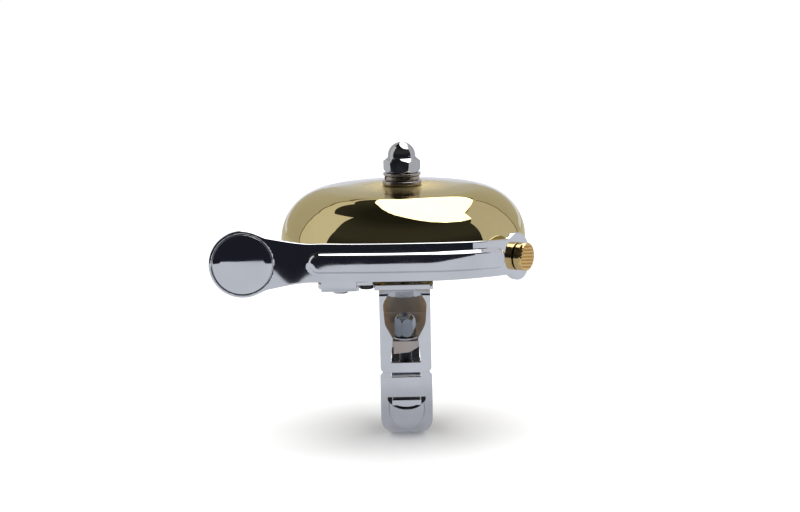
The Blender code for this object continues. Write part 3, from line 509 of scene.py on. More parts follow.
def make_bracket():
    """The upper half of the clamp: a front leg with a window, a web under the plate, a rear leg with ears."""
    bend = 1.5 * MM
    front = FRONT + SHEET / 2
    top = WEB_TOP - SHEET / 2
    foot = SEAM + 0.06 * MM
    rise, fall = top - bend - foot, top - bend - PIN_Z - KNUCKLE / 2
    line = strip_line((front, foot), 90, [rise, (bend, -90), PIN_Y - front - 2 * bend, (bend, -90), fall])
    bracket = prism("bracket", strip_outline(line, SHEET), CLAMP_HALF, IN_YZ)
    join(bracket, prism("ears", arc((PIN_Y, PIN_Z), KNUCKLE, 0, 355, 71), CLAMP_HALF, IN_YZ))
    inner = STRAP_HALF + 0.3 * MM
    cut(bracket, block("room", (-inner, 10 * MM, -5 * MM), (inner, 25 * MM, PIN_Z + KNUCKLE + 0.6 * MM)))
    cut(bracket, prism("bore", arc((PIN_Y, PIN_Z), PIN_RADIUS + 0.1 * MM, 0, 350, 35), 9 * MM, IN_YZ))
    cut(bracket, prism("window", window_outline(), 3 * MM, IN_XZ, -FRONT))
    cut(bracket, cylinder("post_hole", POST_RADIUS + 0.15 * MM, 15 * MM, 30 * MM))
    radius, outside = 1.3 * MM, -0.5 * MM
    for side in (-1, 1):
        sliver = [(outside, outside)] + arc((radius, radius), radius, 180, 270, 10)
        points = [(side * (CLAMP_HALF + 0.01 * MM - x), SEAM + z) for x, z in sliver]
        cut(bracket, prism("corner", points, 1.6 * MM, IN_XZ, -FRONT))
    stands_for(softened(bracket, 0.36 * MM, 5), "clamp_bracket", SATIN)
    # The faces between the legs take the passivated plate, with painted reflection in golden brown towards
    # the sides.
    bracket.data.materials.append(PASSIVATE_PAINTED_REFLECTION)
    for face in bracket.data.polygons:
        x, y, z = face.center
        between_legs = FRONT + 0.35 * MM < y < PIN_Y - SHEET / 2 + 0.1 * MM
        below_web = SEAM + 1 * MM < z < WEB_TOP - SHEET / 2
        if between_legs and below_web and abs(x) < CLAMP_HALF - 0.3 * MM:
            face.material_index = 1


def window_outline():
    """The keyhole in the front leg: an arched window over the screw's head, and a slot over the tab."""
    right = [(3.6, 22.3, 2.0), (5.3, 19.4, 3.0), (4.9, 14.3, 4.0), (3.05, 10.9, 0.6), (3.65, 4.85, 0.3)]
    right = [(x * MM, z * MM, radius * MM) for x, z, radius in right]
    return rounded(right + [(-x, z, radius) for x, z, radius in reversed(right)], 7)


def saddle_start():
    """The saddle's radius and slope, and the y and z where its middle line leaves the front shelf."""
    middle = METAL_RADIUS + SHEET / 2
    slope = (SADDLE_TO - SADDLE_FROM) / 2
    turn = radians(slope)
    y = -(middle + SADDLE_BEND) * sin(turn)
    z = middle * cos(turn) - SADDLE_BEND * (1 - cos(turn))
    return middle, slope, y, z


def make_saddle():
    """The strip across the clamp that sits on top of the bar, with a lip that hangs from its front shelf."""
    middle, slope, start_y, start_z = saddle_start()
    reach = start_y - (FRONT + SHEET + GAP)
    bend = SADDLE_BEND
    moves = [reach, (bend, slope), (middle, SADDLE_FROM - SADDLE_TO), (bend, slope), reach]
    line = strip_line((start_y - reach, start_z), 0, moves)
    saddle = prism("saddle", strip_outline(line, SHEET), CLAMP_HALF, IN_YZ)
    edge = start_z - SHEET / 2
    lip_half = 2.9 * MM
    lip = [
        (-lip_half, edge + 0.5 * MM), (lip_half, edge + 0.5 * MM), (lip_half, edge - 0.2 * MM),
        (0.9 * MM, edge - 1.3 * MM), (-lip_half, edge - 1.7 * MM),
    ]
    lip_back = FRONT + SHEET + GAP + 1.0 * MM
    join(saddle, prism("lip", lip, 0.5 * MM, IN_XZ, 0.5 * MM - lip_back))
    cut(saddle, cylinder("screw_way", SCREW_RADIUS + 0.25 * MM, 0, 12 * MM, (0, SCREW_Y)))
    stands_for(softened(saddle, 0.18 * MM), "bar_saddle", SADDLED)


def make_liner(node, start, end):
    """A strip of rubber between the bar and the metal."""
    outer = BAR_RADIUS + LINER
    steps = round((end - start) / 2)
    outline = arc((0, 0), outer, start, end, steps) + arc((0, 0), BAR_RADIUS, end, start, steps)
    liner = prism(node, outline, CLAMP_HALF - 0.3 * MM, IN_YZ)
    stands_for(softened(liner, 0.2 * MM), node, RUBBER)


def make_strap():
    """The strip that goes under the bar, from the hinge pin to a tongue that hooks into the link."""
    sheet = 1.2 * MM
    middle = METAL_RADIUS + sheet / 2
    leave, hook, run = -25, -154.3, 9.0 * MM
    away = radians(leave)
    meet = Vector((cos(away), sin(away))) * middle
    start = meet + Vector((-sin(away), cos(away))) * run
    moves = [run, (middle, hook - leave), (1.3 * MM, -(hook + 90)), 4.6 * MM]
    line = strip_line(tuple(start), leave - 90, moves)
    strap = prism("strap", strip_outline(line, sheet), STRAP_HALF, IN_YZ)
    lip = half_moon(STRAP_HALF - 0.2 * MM, -4.4 * MM, 0.1 * MM, -5.9 * MM)
    join(strap, prism("hook_lip", lip, 0.55 * MM, IN_XZ, 16.95 * MM))
    join(strap, prism("knuckle", arc((PIN_Y, PIN_Z), KNUCKLE, 0, 355, 71), STRAP_HALF, IN_YZ))
    cut(strap, prism("pin_way", arc((PIN_Y, PIN_Z), PIN_RADIUS + 0.15 * MM, 0, 350, 35), 9 * MM, IN_YZ))
    stands_for(softened(strap, 0.2 * MM), "clamp_strap", SATIN)


def link_front():
    """The link seen from the front: square shoulders and a rounded lower end."""
    half, low = CLAMP_HALF + 0.1 * MM, -14.8 * MM
    wide, tall = 3.6 * MM, 5.2 * MM
    corner = [
        (half - wide * (1 - cos(radians(a))), low + tall * (1 - sin(radians(a))))
        for a in range(0, 91, 5)
    ]
    top = [(half - 0.6 * MM, SEAM - 0.06 * MM), (half, SEAM - 0.66 * MM)]
    right = top + corner
    return right + [(-x, z) for x, z in reversed(right)]


def make_link():
    """The front half of the clamp: a tab that the screw lifts, and a pouch for the strap's tongue."""
    face = LINK_CENTRE - LINK_MIDDLE
    top = SEAM - 0.06 * MM
    line = strip_line((face, top), -90, [top, (LINK_MIDDLE, 69.9)])
    link = prism("link", strip_outline(line, LINK_SHEET), 8 * MM, IN_YZ)
    boolean(link, prism("front", link_front(), 30 * MM, IN_XZ), "INTERSECT")
    notch = STRAP_HALF + 0.06 * MM
    cut(link, block("notch", (-notch, -20 * MM, 1.3 * MM), (notch, -15 * MM, 5 * MM)))
    join(link, prism("neck", strip_outline(neck_line(face), LINK_SHEET), STRAP_HALF, IN_YZ))
    join(link, pouch("pouch", 0))
    cut(link, pouch("pouch_room", 0.8 * MM))
    inside = arc((LINK_CENTRE, 0), LINK_MIDDLE - LINK_SHEET / 2, 190, 265, 40)
    cut(link, prism("inside", inside + [(LINK_CENTRE, -3 * MM)], 5.5 * MM, IN_YZ))
    slit = half_moon(4.6 * MM, SLIT_TOP, 0.5 * MM, SLIT_BOTTOM)
    cut(link, prism("slit", slit, 4.5 * MM, IN_XZ, 14.5 * MM))
    cut(link, cylinder("thread", SCREW_RADIUS + 0.38 * MM, 3 * MM, 9 * MM, (0, SCREW_Y)))
    stands_for(softened(link, 0.3 * MM, 4, 38), "clamp_link", SATIN)


def neck_line(face):
    """The middle line of the neck: off the plate, a step inwards, up behind the bracket, back as the tab."""
    behind = FRONT + SHEET + 0.3 * MM + LINK_SHEET / 2
    step = behind - face
    bend = 0.9 * MM
    tab = TAB_TOP - LINK_SHEET / 2
    line = [(face, 0.2 * MM), (face, 0.9 * MM)]
    line += [
        (face + step * (1 - cos(radians(a))) / 2, 0.9 * MM + 1.9 * MM * a / 180)
        for a in range(15, 181, 15)
    ]
    line += arc((behind + bend, tab - bend), bend, 180, 90, 9)
    return line + [(-9.9 * MM, tab)]


def pouch(name, inset):
    """Half an egg that stands out of the link below its slit, open at the top."""
    angle = radians(26)
    work = bmesh.new()
    bmesh.ops.create_uvsphere(work, u_segments=72, v_segments=44, radius=1)
    sizes = (4.6 * MM - inset, 3.3 * MM - inset, 6.2 * MM - inset)
    middle = LINK_MIDDLE - 0.4 * MM
    centre = (0, LINK_CENTRE - middle * cos(angle), -middle * sin(angle))
    place = Matrix.Translation(centre) @ Matrix.Rotation(angle, 4, "X") @ Matrix.Diagonal((*sizes, 1))
    bmesh.ops.transform(work, matrix=place, verts=work.verts)
    bmesh.ops.bisect_plane(
        work, geom=work.verts[:] + work.edges[:] + work.faces[:], plane_co=(0, 0, POUCH_RIM + inset / 2),
        plane_no=(0, 0, 1), clear_outer=True,
    )
    bmesh.ops.holes_fill(work, edges=[edge for edge in work.edges if edge.is_boundary])
    return new_object(name, work)


def make_screw():
    """The clamp screw with its domed hexagon head, and the washer under it."""
    shelf = saddle_start()[3] + SHEET / 2
    seat = shelf + GAP + 0.5 * MM + GAP
    corner = 2.6 * MM
    profile = cap_line(corner, seat + 3.4 * MM, 2.2 * MM) + [
        (corner, seat + 0.9 * MM), (2.3 * MM, seat), (SCREW_RADIUS, seat),
        (SCREW_RADIUS, 0.5 * MM), (1.1 * MM, 0.1 * MM), (0, 0.1 * MM),
    ]
    at = (0, SCREW_Y)
    screw = hexed(lathe("screw", profile, (*at, 0)), 4.6 * MM, 12, at, 0.2 * MM)
    stands_for(softened(screw, 0.08 * MM, 2), "clamp_screw", BOLTED)
    # The shank below the seat is painted near black: painted shade, where it sits in the dark slot under the
    # bracket.
    screw.data.materials.append(PAINTED_SHADE_SHANK)
    for face in screw.data.polygons:
        if face.center.z < seat:
            face.material_index = 1
    washer = ring("washer", 3.0 * MM, SCREW_RADIUS + 0.15 * MM, shelf + GAP, seat - GAP, at)
    stands_for(washer, "clamp_washer", ZINC)


def make_hinge_pin():
    """The pin at the back of the clamp, with domed ends."""
    cap = cap_line(PIN_RADIUS, CLAMP_HALF - 0.2 * MM, 0.4 * MM, 10)
    pin = lathe("pin", cap + [(r, -z) for r, z in reversed(cap)])
    place = Matrix.Translation((0, PIN_Y, PIN_Z)) @ Matrix.Rotation(radians(90), 4, "Y")
    pin.data.transform(place)
    stands_for(pin, "hinge_pin", ZINC)


# ---------------------------------------------------------------- plate, post and dome


def make_plate():
    """The plate between clamp and bell, with an ear for the lever's pivot and a tab for its spring."""
    reach = 5.4 * MM
    ear = PIVOT_X - reach
    side, back = 6.9 * MM, 17.6 * MM
    corners = [
        (side, -22.2 * MM, 0.8 * MM), (side, back, 3.0 * MM), (-side, back, 3.0 * MM),
        (-side, -9.0 * MM, 4.0 * MM), (ear, PIVOT_Y + reach, 5.3 * MM), (ear, PIVOT_Y - reach, 5.3 * MM),
    ]
    middle, half = (PLATE_TOP + PLATE_BOTTOM) / 2, (PLATE_TOP - PLATE_BOTTOM) / 2
    plate = prism("plate", rounded(corners, 14), half, IN_XY, middle)
    tab_front = -15.7 * MM
    low, high = (-8.5 * MM, tab_front, PLATE_TOP - 0.7 * MM), (-5.5 * MM, tab_front + 1.3 * MM, 31.8 * MM)
    join(plate, block("tab", low, high))
    cut(plate, cylinder("post_way", POST_RADIUS + 0.15 * MM, 20 * MM, 28 * MM))
    cut(plate, cylinder("rivet_way", 1.65 * MM, 20 * MM, 28 * MM, (PIVOT_X, PIVOT_Y)))
    stem = 1.8 * MM
    slot = [(BUMPER_X + stem, -30 * MM), (BUMPER_X + stem, BUMPER_Y)]
    slot += arc((BUMPER_X, BUMPER_Y), stem, 10, 170, 20) + [(BUMPER_X - stem, -30 * MM)]
    cut(plate, prism("bumper_slot", slot, 6 * MM, IN_XY, PLATE_TOP))
    stands_for(softened(plate, 0.2 * MM), "base_plate", CHROME)


def dome_height(radius):
    """Height of the crown's outer face."""
    return DOME_TOP - CROWN_CURVE + sqrt(CROWN_CURVE**2 - radius**2)


def make_post():
    """The bolt through the whole bell, the sleeve that carries the dome, and the cushion between them."""
    head_top = WEB_TOP - SHEET - GAP
    head_bottom = head_top - 3.4 * MM
    tip = NUT_BOTTOM + 4.6 * MM
    rim, bevel = 4.62 * MM, 0.3 * MM
    profile = [
        (0, tip), (2.1 * MM, tip), (POST_RADIUS, tip - 0.4 * MM), (POST_RADIUS, head_top),
        (4.2 * MM, head_top), (rim, head_top - bevel), (rim, head_bottom + bevel), (4.2 * MM, head_bottom),
        (0, head_bottom),
    ]
    stands_for(softened(hexed(lathe("bolt", profile), NUT_FLATS, 0), 0.08 * MM, 2), "center_bolt", ZINC)
    under, foot = dome_height(0) - DOME_WALL, PLATE_TOP + GAP
    top = under - 1.4 * MM
    inner, wide, waist, edge = POST_RADIUS + 0.15 * MM, 5.4 * MM, 4.4 * MM, 0.25 * MM
    sleeve = [
        (inner, top, edge / 3), (wide, top, edge), (wide, top - 0.8 * MM, edge),
        (waist, top - 1.4 * MM, edge), (waist, foot + 1.4 * MM, edge), (wide, foot + 0.8 * MM, edge),
        (wide, foot, edge), (inner, foot, edge / 3),
    ]
    stands_for(lathe("sleeve", rounded(sleeve), closed=True), "post_sleeve", ZINC)
    stands_for(ring("cushion", 6.4 * MM, inner, top + GAP, under - GAP), "crown_cushion", NYLON)


def dome_line(inset, steps):
    """The dome's profile, from the hole in its crown down to its rim, moved in by inset."""
    slope = asin((DOME_RADIUS - SHOULDER) / (CROWN_CURVE - SHOULDER))
    crown = CROWN_CURVE - inset
    base = DOME_TOP - CROWN_CURVE
    first = asin((POST_RADIUS + 0.25 * MM) / crown)
    across = 24
    angles = [first + (slope - first) * k / across for k in range(across + 1)]
    line = [(crown * sin(a), base + crown * cos(a)) for a in angles]
    centre = (DOME_RADIUS - SHOULDER, base + (CROWN_CURVE - SHOULDER) * cos(slope))
    turn = radians(90) - slope
    radius = SHOULDER - inset
    angles = [slope + turn * k / steps for k in range(1, steps + 1)]
    return line + [(centre[0] + radius * sin(a), centre[1] + radius * cos(a)) for a in angles]


def make_dome():
    """The brass bell: a spun shell with a rolled rim."""
    bead, edge = 0.5 * MM, 0.35 * MM
    inner_rim = DOME_RADIUS - DOME_WALL - bead
    corners = [
        (DOME_RADIUS, DOME_RIM + 3 * MM, 0), (DOME_RADIUS, DOME_RIM, edge), (inner_rim, DOME_RIM, edge),
        (inner_rim, DOME_RIM + 1.6 * MM, 0.3 * MM), (DOME_RADIUS - DOME_WALL, DOME_RIM + 2.8 * MM, 0),
    ]
    profile = dome_line(0, 64) + rounded(corners, 8, closed=False)[1:] + dome_line(DOME_WALL, 40)[::-1]
    stands_for(lathe("dome", profile, steps=288, closed=True), "bell_dome", BRASS, weighted=False)


def make_crown_stack():
    """What holds the dome down: two washers with a split spring washer between them, and an acorn nut."""
    inner = POST_RADIUS + 0.15 * MM
    flat = ring("flat", 4.8 * MM, inner, DOME_TOP + GAP, DOME_TOP + 1.2 * MM, edge=0.25 * MM)
    stands_for(flat, "crown_washer", WASHED)
    split = ring("split", 4.3 * MM, inner, DOME_TOP + 1.4 * MM, DOME_TOP + 2.35 * MM, edge=0.15 * MM)
    saw = block("saw", (-0.35 * MM, -6 * MM, -2 * MM), (0.35 * MM, 0, 2 * MM))
    turn = Matrix.Rotation(radians(-70), 4, "Z") @ Matrix.Rotation(radians(35), 4, "Y")
    saw.data.transform(Matrix.Translation((0, 0, DOME_TOP + 1.9 * MM)) @ turn)
    stands_for(softened(cut(split, saw), 0.05 * MM, 2, 50), "spring_washer", WASHED)
    flat = ring("flat", 4.6 * MM, inner, DOME_TOP + 2.5 * MM, NUT_BOTTOM - GAP / 2, edge=0.1 * MM)
    stands_for(flat, "nut_washer", WASHED)
    ball = 3.4 * MM
    middle, waist = NUT_TOP - ball, NUT_TOP - ball - 0.1 * MM
    rim = 4.62 * MM
    edge = 0.2 * MM
    corners = [
        (ball, waist, 0), (3.5 * MM, waist - 0.3 * MM, edge), (rim, waist - 1.2 * MM, edge),
        (rim, NUT_BOTTOM + 0.8 * MM, edge), (3.9 * MM, NUT_BOTTOM, edge / 2), (0, NUT_BOTTOM, 0),
    ]
    nut = turned("nut", corners, 4, above=cap_line(ball, middle, ball, 4))
    hexed(nut, NUT_FLATS, NUT_TURN, edge=0.3 * MM)
    cut(nut, cylinder("nut_bore", POST_RADIUS + 0.15 * MM, 40 * MM, NUT_BOTTOM + 5.0 * MM))
    stands_for(softened(nut, 0.1 * MM, 2, 25), "acorn_nut", NUTTED)


# ---------------------------------------------------------------- the lever


def lever_spot(s):
    """Where a length s along the strip lies in plan, and the way its outer face looks there."""
    if s <= BEND_FROM:
        return Vector((s, LEVER_Y, 0)), Vector((0, -1, 0))
    turn = min((s - BEND_FROM) / BEND_RADIUS, BEND_ANGLE)
    beyond = s - BEND_FROM - turn * BEND_RADIUS
    x = BEND_FROM + BEND_RADIUS * sin(turn) + beyond * cos(turn)
    y = LEVER_Y + BEND_RADIUS * (1 - cos(turn)) + beyond * sin(turn)
    return Vector((x, y, 0)), Vector((sin(turn), -cos(turn), 0))


def ease(value, start, end):
    """0 before start, 1 after end, smooth between them."""
    t = min(1.0, max(0.0, (value - start) / (end - start)))
    return t * t * (3 - 2 * t)


def smooth_max(a, b, reach):
    """The larger of two lengths, rounded where they are within reach of each other."""
    near = max(reach - abs(a - b), 0) / reach
    return max(a, b) + near * near * reach / 4


def lever_middle(s):
    """Height of the strip's middle line: it drops towards the striker."""
    bend = max(0.0, (s - 8 * MM) / (25 * MM))
    return PAD_Z - 0.3 * MM * ease(s, -30 * MM, 0) - 1.55 * MM * bend**2


def lever_half(s):
    """Half the strip's height: a round pad, a neck that narrows from it, the strip, and a round end."""
    pad = sqrt(max(PAD_RADIUS**2 - (s - PAD_S) ** 2, 0))
    end = sqrt(max(END_RADIUS**2 - (s - END_S) ** 2, 0))
    if s < PAD_S:
        return pad
    if s > END_S:
        return end
    neck = STRIP_HALF - 0.2 * MM + 2.47 * MM * exp(-(((s - PAD_S) / (10.6 * MM)) ** 2))
    neck += 0.25 * MM * ease(s, -23 * MM, -18 * MM) - 0.2 * MM * ease(s, 5 * MM, 25 * MM)
    return smooth_max(smooth_max(pad, neck, 0.8 * MM), end, 1.2 * MM)


def edge_depth(s, z):
    """How far a point of the strip's face lies inside its outline."""
    if s < PAD_S:
        return PAD_RADIUS - hypot(s - PAD_S, z)
    if s > END_S:
        return END_RADIUS - hypot(s - END_S, z)
    return lever_half(s) - abs(z)


def rib_rise(s, z):
    """How far the pressed rib stands out: flat along its middle, rounded down to its foot all round."""
    first, last = RIB_FROM + RIB_HALF, RIB_TO - RIB_HALF
    away = hypot(s - min(max(s, first), last), z) / RIB_HALF
    if away >= 1:
        return 0.0
    return RIB_HEIGHT * (1 - ease(away, 0.61, 1.0))


def lever_lengths():
    """Lengths along the strip, close together round its two ends."""
    quarter = [radians(a) for a in range(0, 91, 3)]
    first = [PAD_S - PAD_RADIUS * cos(a) for a in quarter]
    last = [END_S + END_RADIUS * sin(a) for a in quarter]
    steps = round((last[0] - first[-1]) / (0.36 * MM))
    between = [first[-1] + (last[0] - first[-1]) * k / steps for k in range(1, steps)]
    return first + between + last


def face_lean(s):
    """How far the strip's face leans back: a little along the rib, more where it necks down to the pad."""
    rib = RIB_LEAN * ease(s, -24 * MM, -21 * MM) * (1 - ease(s, 8 * MM, 24 * MM))
    return rib + NECK_LEAN * exp(-(((s - NECK_S) / (4.4 * MM)) ** 2))


def lever_point(s, share, side):
    """A point of the strip's front (side 1) or back (side -1) face, a share of the way up or down it."""
    z = lever_half(s) * share
    inside = min(max(edge_depth(s, z), 0.0), LEVER_EDGE)
    corner = LEVER_EDGE - sqrt(max(LEVER_EDGE**2 - (LEVER_EDGE - inside) ** 2, 0.0))
    out = side * (SHEET / 2 - corner) + rib_rise(s, z) - face_lean(s) * z
    spot, outward = lever_spot(s)
    return spot + outward * out + Vector((0, 0, lever_middle(s) + z))


def make_lever_strip():
    """The pressed strip as two fine grids, front and back, joined round its edge."""
    lengths = lever_lengths()
    half_rows = 44
    shares = [sin(radians(90) * k / half_rows) for k in range(-half_rows, half_rows + 1)]
    work = bmesh.new()
    faces = {}
    for side in (1, -1):
        faces[side] = [[work.verts.new(lever_point(s, share, side)) for share in shares] for s in lengths]
        for left, right in zip(faces[side], faces[side][1:]):
            for k in range(len(shares) - 1):
                work.faces.new((left[k], right[k], right[k + 1], left[k + 1]))
    for k in (0, -1):
        for i in range(len(lengths) - 1):
            fronts, backs = faces[1], faces[-1]
            work.faces.new((fronts[i][k], fronts[i + 1][k], backs[i + 1][k], backs[i][k]))
    bmesh.ops.remove_doubles(work, verts=work.verts, dist=0.0008 * MM)
    loose = [face for face in work.faces if face.calc_area() < 1e-14]
    bmesh.ops.delete(work, geom=loose, context="FACES")
    bmesh.ops.holes_fill(work, edges=[edge for edge in work.edges if edge.is_boundary])
    return new_object("strip", work)


def make_flange():
    """The lever's foot: it bends in under the dome's rim to the pivot, with a lug in front of the bumper."""
    level = FLANGE_TOP - SHEET / 2
    bend = 1.3 * MM
    top = 29.6 * MM
    front = LEVER_Y + 0.03 * MM
    line = strip_line((front, top), -90, [top - level - bend, (bend, 90), PIVOT_Y - front - bend])
    foot = prism("flange", strip_outline(line, SHEET), 4.1 * MM, IN_YZ, PIVOT_X)
    join(foot, prism("eye", arc((PIVOT_X, PIVOT_Y), 4.6 * MM, 0, 356, 89), SHEET / 2, IN_XY, level))
    far, near, right = -24.4 * MM, BUMPER_Y - 1.95 * MM, BUMPER_X + 1.6 * MM
    lug = [(PIVOT_X, far, 0), (right, far, 0.8 * MM), (right, near, 0.8 * MM), (PIVOT_X, near, 0)]
    join(foot, prism("lug", rounded(lug), SHEET / 2, IN_XY, level))
    cut(foot, cylinder("bush_way", 2.45 * MM, 20 * MM, 30 * MM, (PIVOT_X, PIVOT_Y)))
    cut(foot, cylinder("leg_way", 0.75 * MM, 20 * MM, 28 * MM, (LEG_X, LEG_Y), 32))
    return applied(softened(foot, 0.18 * MM))


def make_lever():
    """The lever: strip and flange in one, with a round recess in the pad for the medallion."""
    lever = join(make_lever_strip(), make_flange())
    face = LEVER_Y - SHEET / 2
    radius, depth, flare = MEDALLION + 0.15 * MM, 0.7 * MM, 0.14 * MM
    above, wide = 1 * MM, radius + flare
    recess = [(0, above), (wide + above, above), (wide, 0), (radius, -flare), (radius, -depth), (0, -depth)]
    cutter = lathe("recess", recess, steps=160)
    cutter.data.transform(Matrix.Translation((PAD_S, face, PAD_Z)) @ IN_XZ)
    stands_for(cut(lever, cutter), "lever_arm", CHROME, weighted=False)
    disc = lathe("disc", medallion_line(), steps=160)
    disc.data.transform(Matrix.Translation((PAD_S, face + 0.5 * MM, PAD_Z)) @ IN_XZ)
    stands_for(disc, "thumb_medallion", CHROME)


def medallion_line():
    """A plain disc with a rounded edge and a face that stands up a hair in the middle."""
    thick, crown, flat = 0.6 * MM, 0.004 * MM, 5.0 * MM
    dished = [(flat * k / 16, thick + crown * (1 - (k / 16) ** 2)) for k in range(16)]
    corners = [(flat, thick, 0), (MEDALLION, thick, 0.22 * MM), (MEDALLION, 0, 0.08 * MM), (0, 0, 0)]
    return dished + rounded(corners, 4, closed=False)


def along(obj, s):
    """Lays a piece turned about Z along the way the strip's outer face looks at s."""
    spot, outward = lever_spot(s)
    place = Matrix.Translation(spot + Vector((0, 0, lever_middle(s))))
    obj.data.transform(place @ outward.to_track_quat("Z", "Y").to_matrix().to_4x4())
    return obj


def make_striker():
    """The brass striker inside the strip, and the serrated button that is pressed on its stud."""
    inner = -SHEET / 2 - GAP
    reach = lever_spot(END_S)[0].length - DOME_RADIUS - 1.1 * MM
    stud, neck, wide = SHEET / 2 + 1.6 * MM, 2.0 * MM, 3.0 * MM
    profile = [
        (0, stud, 0), (neck, stud, 0.15 * MM), (neck, inner, 0.05 * MM), (wide, inner, 0.15 * MM),
        (wide, -reach, 0.8 * MM), (0, -reach, 0),
    ]
    head = along(turned("head", profile), END_S)
    stands_for(head, "striker_head", YELLOW)
    foot = SHEET / 2 + GAP
    tip = foot + 2.36 * MM
    bore, rim = 2.15 * MM, 3.36 * MM
    body = [
        (0, tip, 0), (rim, tip, 0.45 * MM), (rim, foot, 0.2 * MM), (bore, foot, 0.05 * MM),
        (bore, foot + 1.6 * MM, 0.05 * MM), (0, foot + 1.6 * MM, 0),
    ]
    button = along(turned("button", body), END_S)
    for k in range(-3, 4):
        groove = block("groove", (-5 * MM, -0.18 * MM, -0.3 * MM), (5 * MM, 0.18 * MM, 0.3 * MM))
        groove.data.transform(Matrix.Rotation(radians(45), 4, "X"))
        groove.data.transform(Matrix.Translation((0, k * 0.8 * MM, tip + 0.05 * MM)))
        groove.data.transform(Matrix.Rotation(GROOVE_TURN, 4, "Z"))
        cut(button, along(groove, END_S))
    stands_for(softened(button, 0.05 * MM, 2, 30), "striker_button", YELLOW)


def make_pivot():
    """The rivet that the lever swings on, the bush and cap washer on it, and the rubber stop."""
    at = (PIVOT_X, PIVOT_Y)
    low, bush_top, cap_top = PLATE_BOTTOM - GAP, 31.0 * MM, 31.7 * MM
    head = cap_top + GAP
    shank, upset = 1.5 * MM, 2.0 * MM
    crown = cap_line(2.5 * MM, head, 0.9 * MM, 6)
    profile = [
        (shank, head, 0.05 * MM), (shank, low, 0.05 * MM), (upset, low, 0.1 * MM),
        (upset, low - 0.7 * MM, 0.3 * MM), (1.6 * MM, low - 1.1 * MM, 0.2 * MM), (0, low - 1.1 * MM, 0),
    ]
    stands_for(turned("rivet", profile, 5, at, crown), "pivot_rivet", ZINC)
    bore = shank + 0.15 * MM
    stands_for(ring("bush", 2.3 * MM, bore, PLATE_TOP + GAP, bush_top, at), "pivot_bush", YELLOW)
    stands_for(ring("cap", 4.0 * MM, bore, bush_top + 0.1 * MM, cap_top, at, 0.15 * MM), "spring_cap", ZINC)
    radius, top, bottom = 1.6 * MM, PLATE_TOP + 2.0 * MM, PLATE_BOTTOM + 0.1 * MM
    stop = [(0, top, 0), (radius, top, 0.35 * MM), (radius, bottom, 0.2 * MM), (0, bottom, 0)]
    stands_for(turned("bumper", stop, 6, (BUMPER_X, BUMPER_Y)), "rest_bumper", RUBBER)


def make_spring():
    """The torsion spring: its lower leg sits in the lever's foot and its upper leg bears on the plate's tab.
    It is put on no body.
    """
    wire, coil = 0.45 * MM, 3.3 * MM
    low, pitch, turns, steps = 27.25 * MM, 1.0 * MM, 3.25, 48
    points = [Vector((LEG_X, LEG_Y, FLANGE_TOP - 1.0 * MM)), Vector((LEG_X, LEG_Y, low - 0.5 * MM))]
    points += [Vector((LEG_X, LEG_Y + 0.4 * MM, low - 0.1 * MM)), Vector((LEG_X, LEG_Y + 1.0 * MM, low))]
    for k in range(round(turns * steps) + 1):
        angle = 2 * pi * k / steps
        x, y = PIVOT_X + coil * cos(angle), PIVOT_Y + coil * sin(angle)
        points.append(Vector((x, y, low + pitch * k / steps)))
    points.append(points[-1] + Vector((-7.0 * MM, 0, 0)))
    curve = bpy.data.curves.new("spring", "CURVE")
    curve.dimensions = "3D"
    curve.bevel_depth = wire
    curve.bevel_resolution = 5
    curve.use_fill_caps = True
    spline = curve.splines.new("POLY")
    spline.points.add(len(points) - 1)
    for point, spot in zip(spline.points, points):
        point.co = (*spot, 1)
    guide = linked("spring", curve)
    work = bmesh.new()
    work.from_mesh(evaluated_mesh(guide))
    bmesh.ops.remove_doubles(work, verts=work.verts, dist=0.001 * MM)
    bpy.data.objects.remove(guide)
    wound = new_object("spring_wire", work)
    spring = stands_for(wound, "return_spring", ZINC, weighted=False, blended=True)
    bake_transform(spring)


# ---------------------------------------------------------------- studio

FLOOR = -14.65 * MM
DOME_MIDDLE = Vector((0, 0, 40 * MM))
SOFT_BOX_HEIGHT = 0.7
CURTAIN_FOOT = -3  # degrees below the dome where the cards end, out of sight behind the paper
PAPER_HALF = 3
AIM = Vector((-0.9 * MM, 0, 28.1 * MM))
DISTANCE = 0.6
PITCH, ROLL = radians(9.5), radians(-1.2)


def glow(name, colour, strength):
    """A material that only gives off light."""
    made, tree = new_material(name)
    tree.nodes.remove(tree.nodes["Principled BSDF"])
    lamp = tree.nodes.new("ShaderNodeEmission")
    lamp.inputs["Color"].default_value = (*colour, 1)
    lamp.inputs["Strength"].default_value = strength
    tree.links.new(lamp.outputs["Emission"], tree.nodes["Material Output"].inputs["Surface"])
    return made


def matt(name, colour):
    """A plain paper surface."""
    made, tree = new_material(name)
    shader = tree.nodes["Principled BSDF"]
    shader.inputs["Base Color"].default_value = (*colour, 1)
    shader.inputs["Roughness"].default_value = 1.0
    shader.inputs["Specular IOR Level"].default_value = 0.0
    return made


def staged(name, work, material):
    card = mesh_object(name, work)
    card.data.materials.append(material)
    return card


def stage_panel(name, corners, material, camera=False, diffuse=False, glossy=True):
    """A flat card of the studio that casts no shadow, with the kinds of ray that see it."""
    work = bmesh.new()
    work.faces.new([work.verts.new(corner) for corner in corners])
    card = staged(name, work, material)
    card.visible_camera, card.visible_diffuse, card.visible_glossy = camera, diffuse, glossy
    card.visible_shadow = False


def toward(azimuth, elevation, distance):
    """A spot at a distance from the dome, so many degrees round to the right from the front, and up."""
    a, e = radians(azimuth), radians(elevation)
    way = Vector((cos(e) * sin(a), -cos(e) * cos(a), sin(e)))
    return way * distance + DOME_MIDDLE


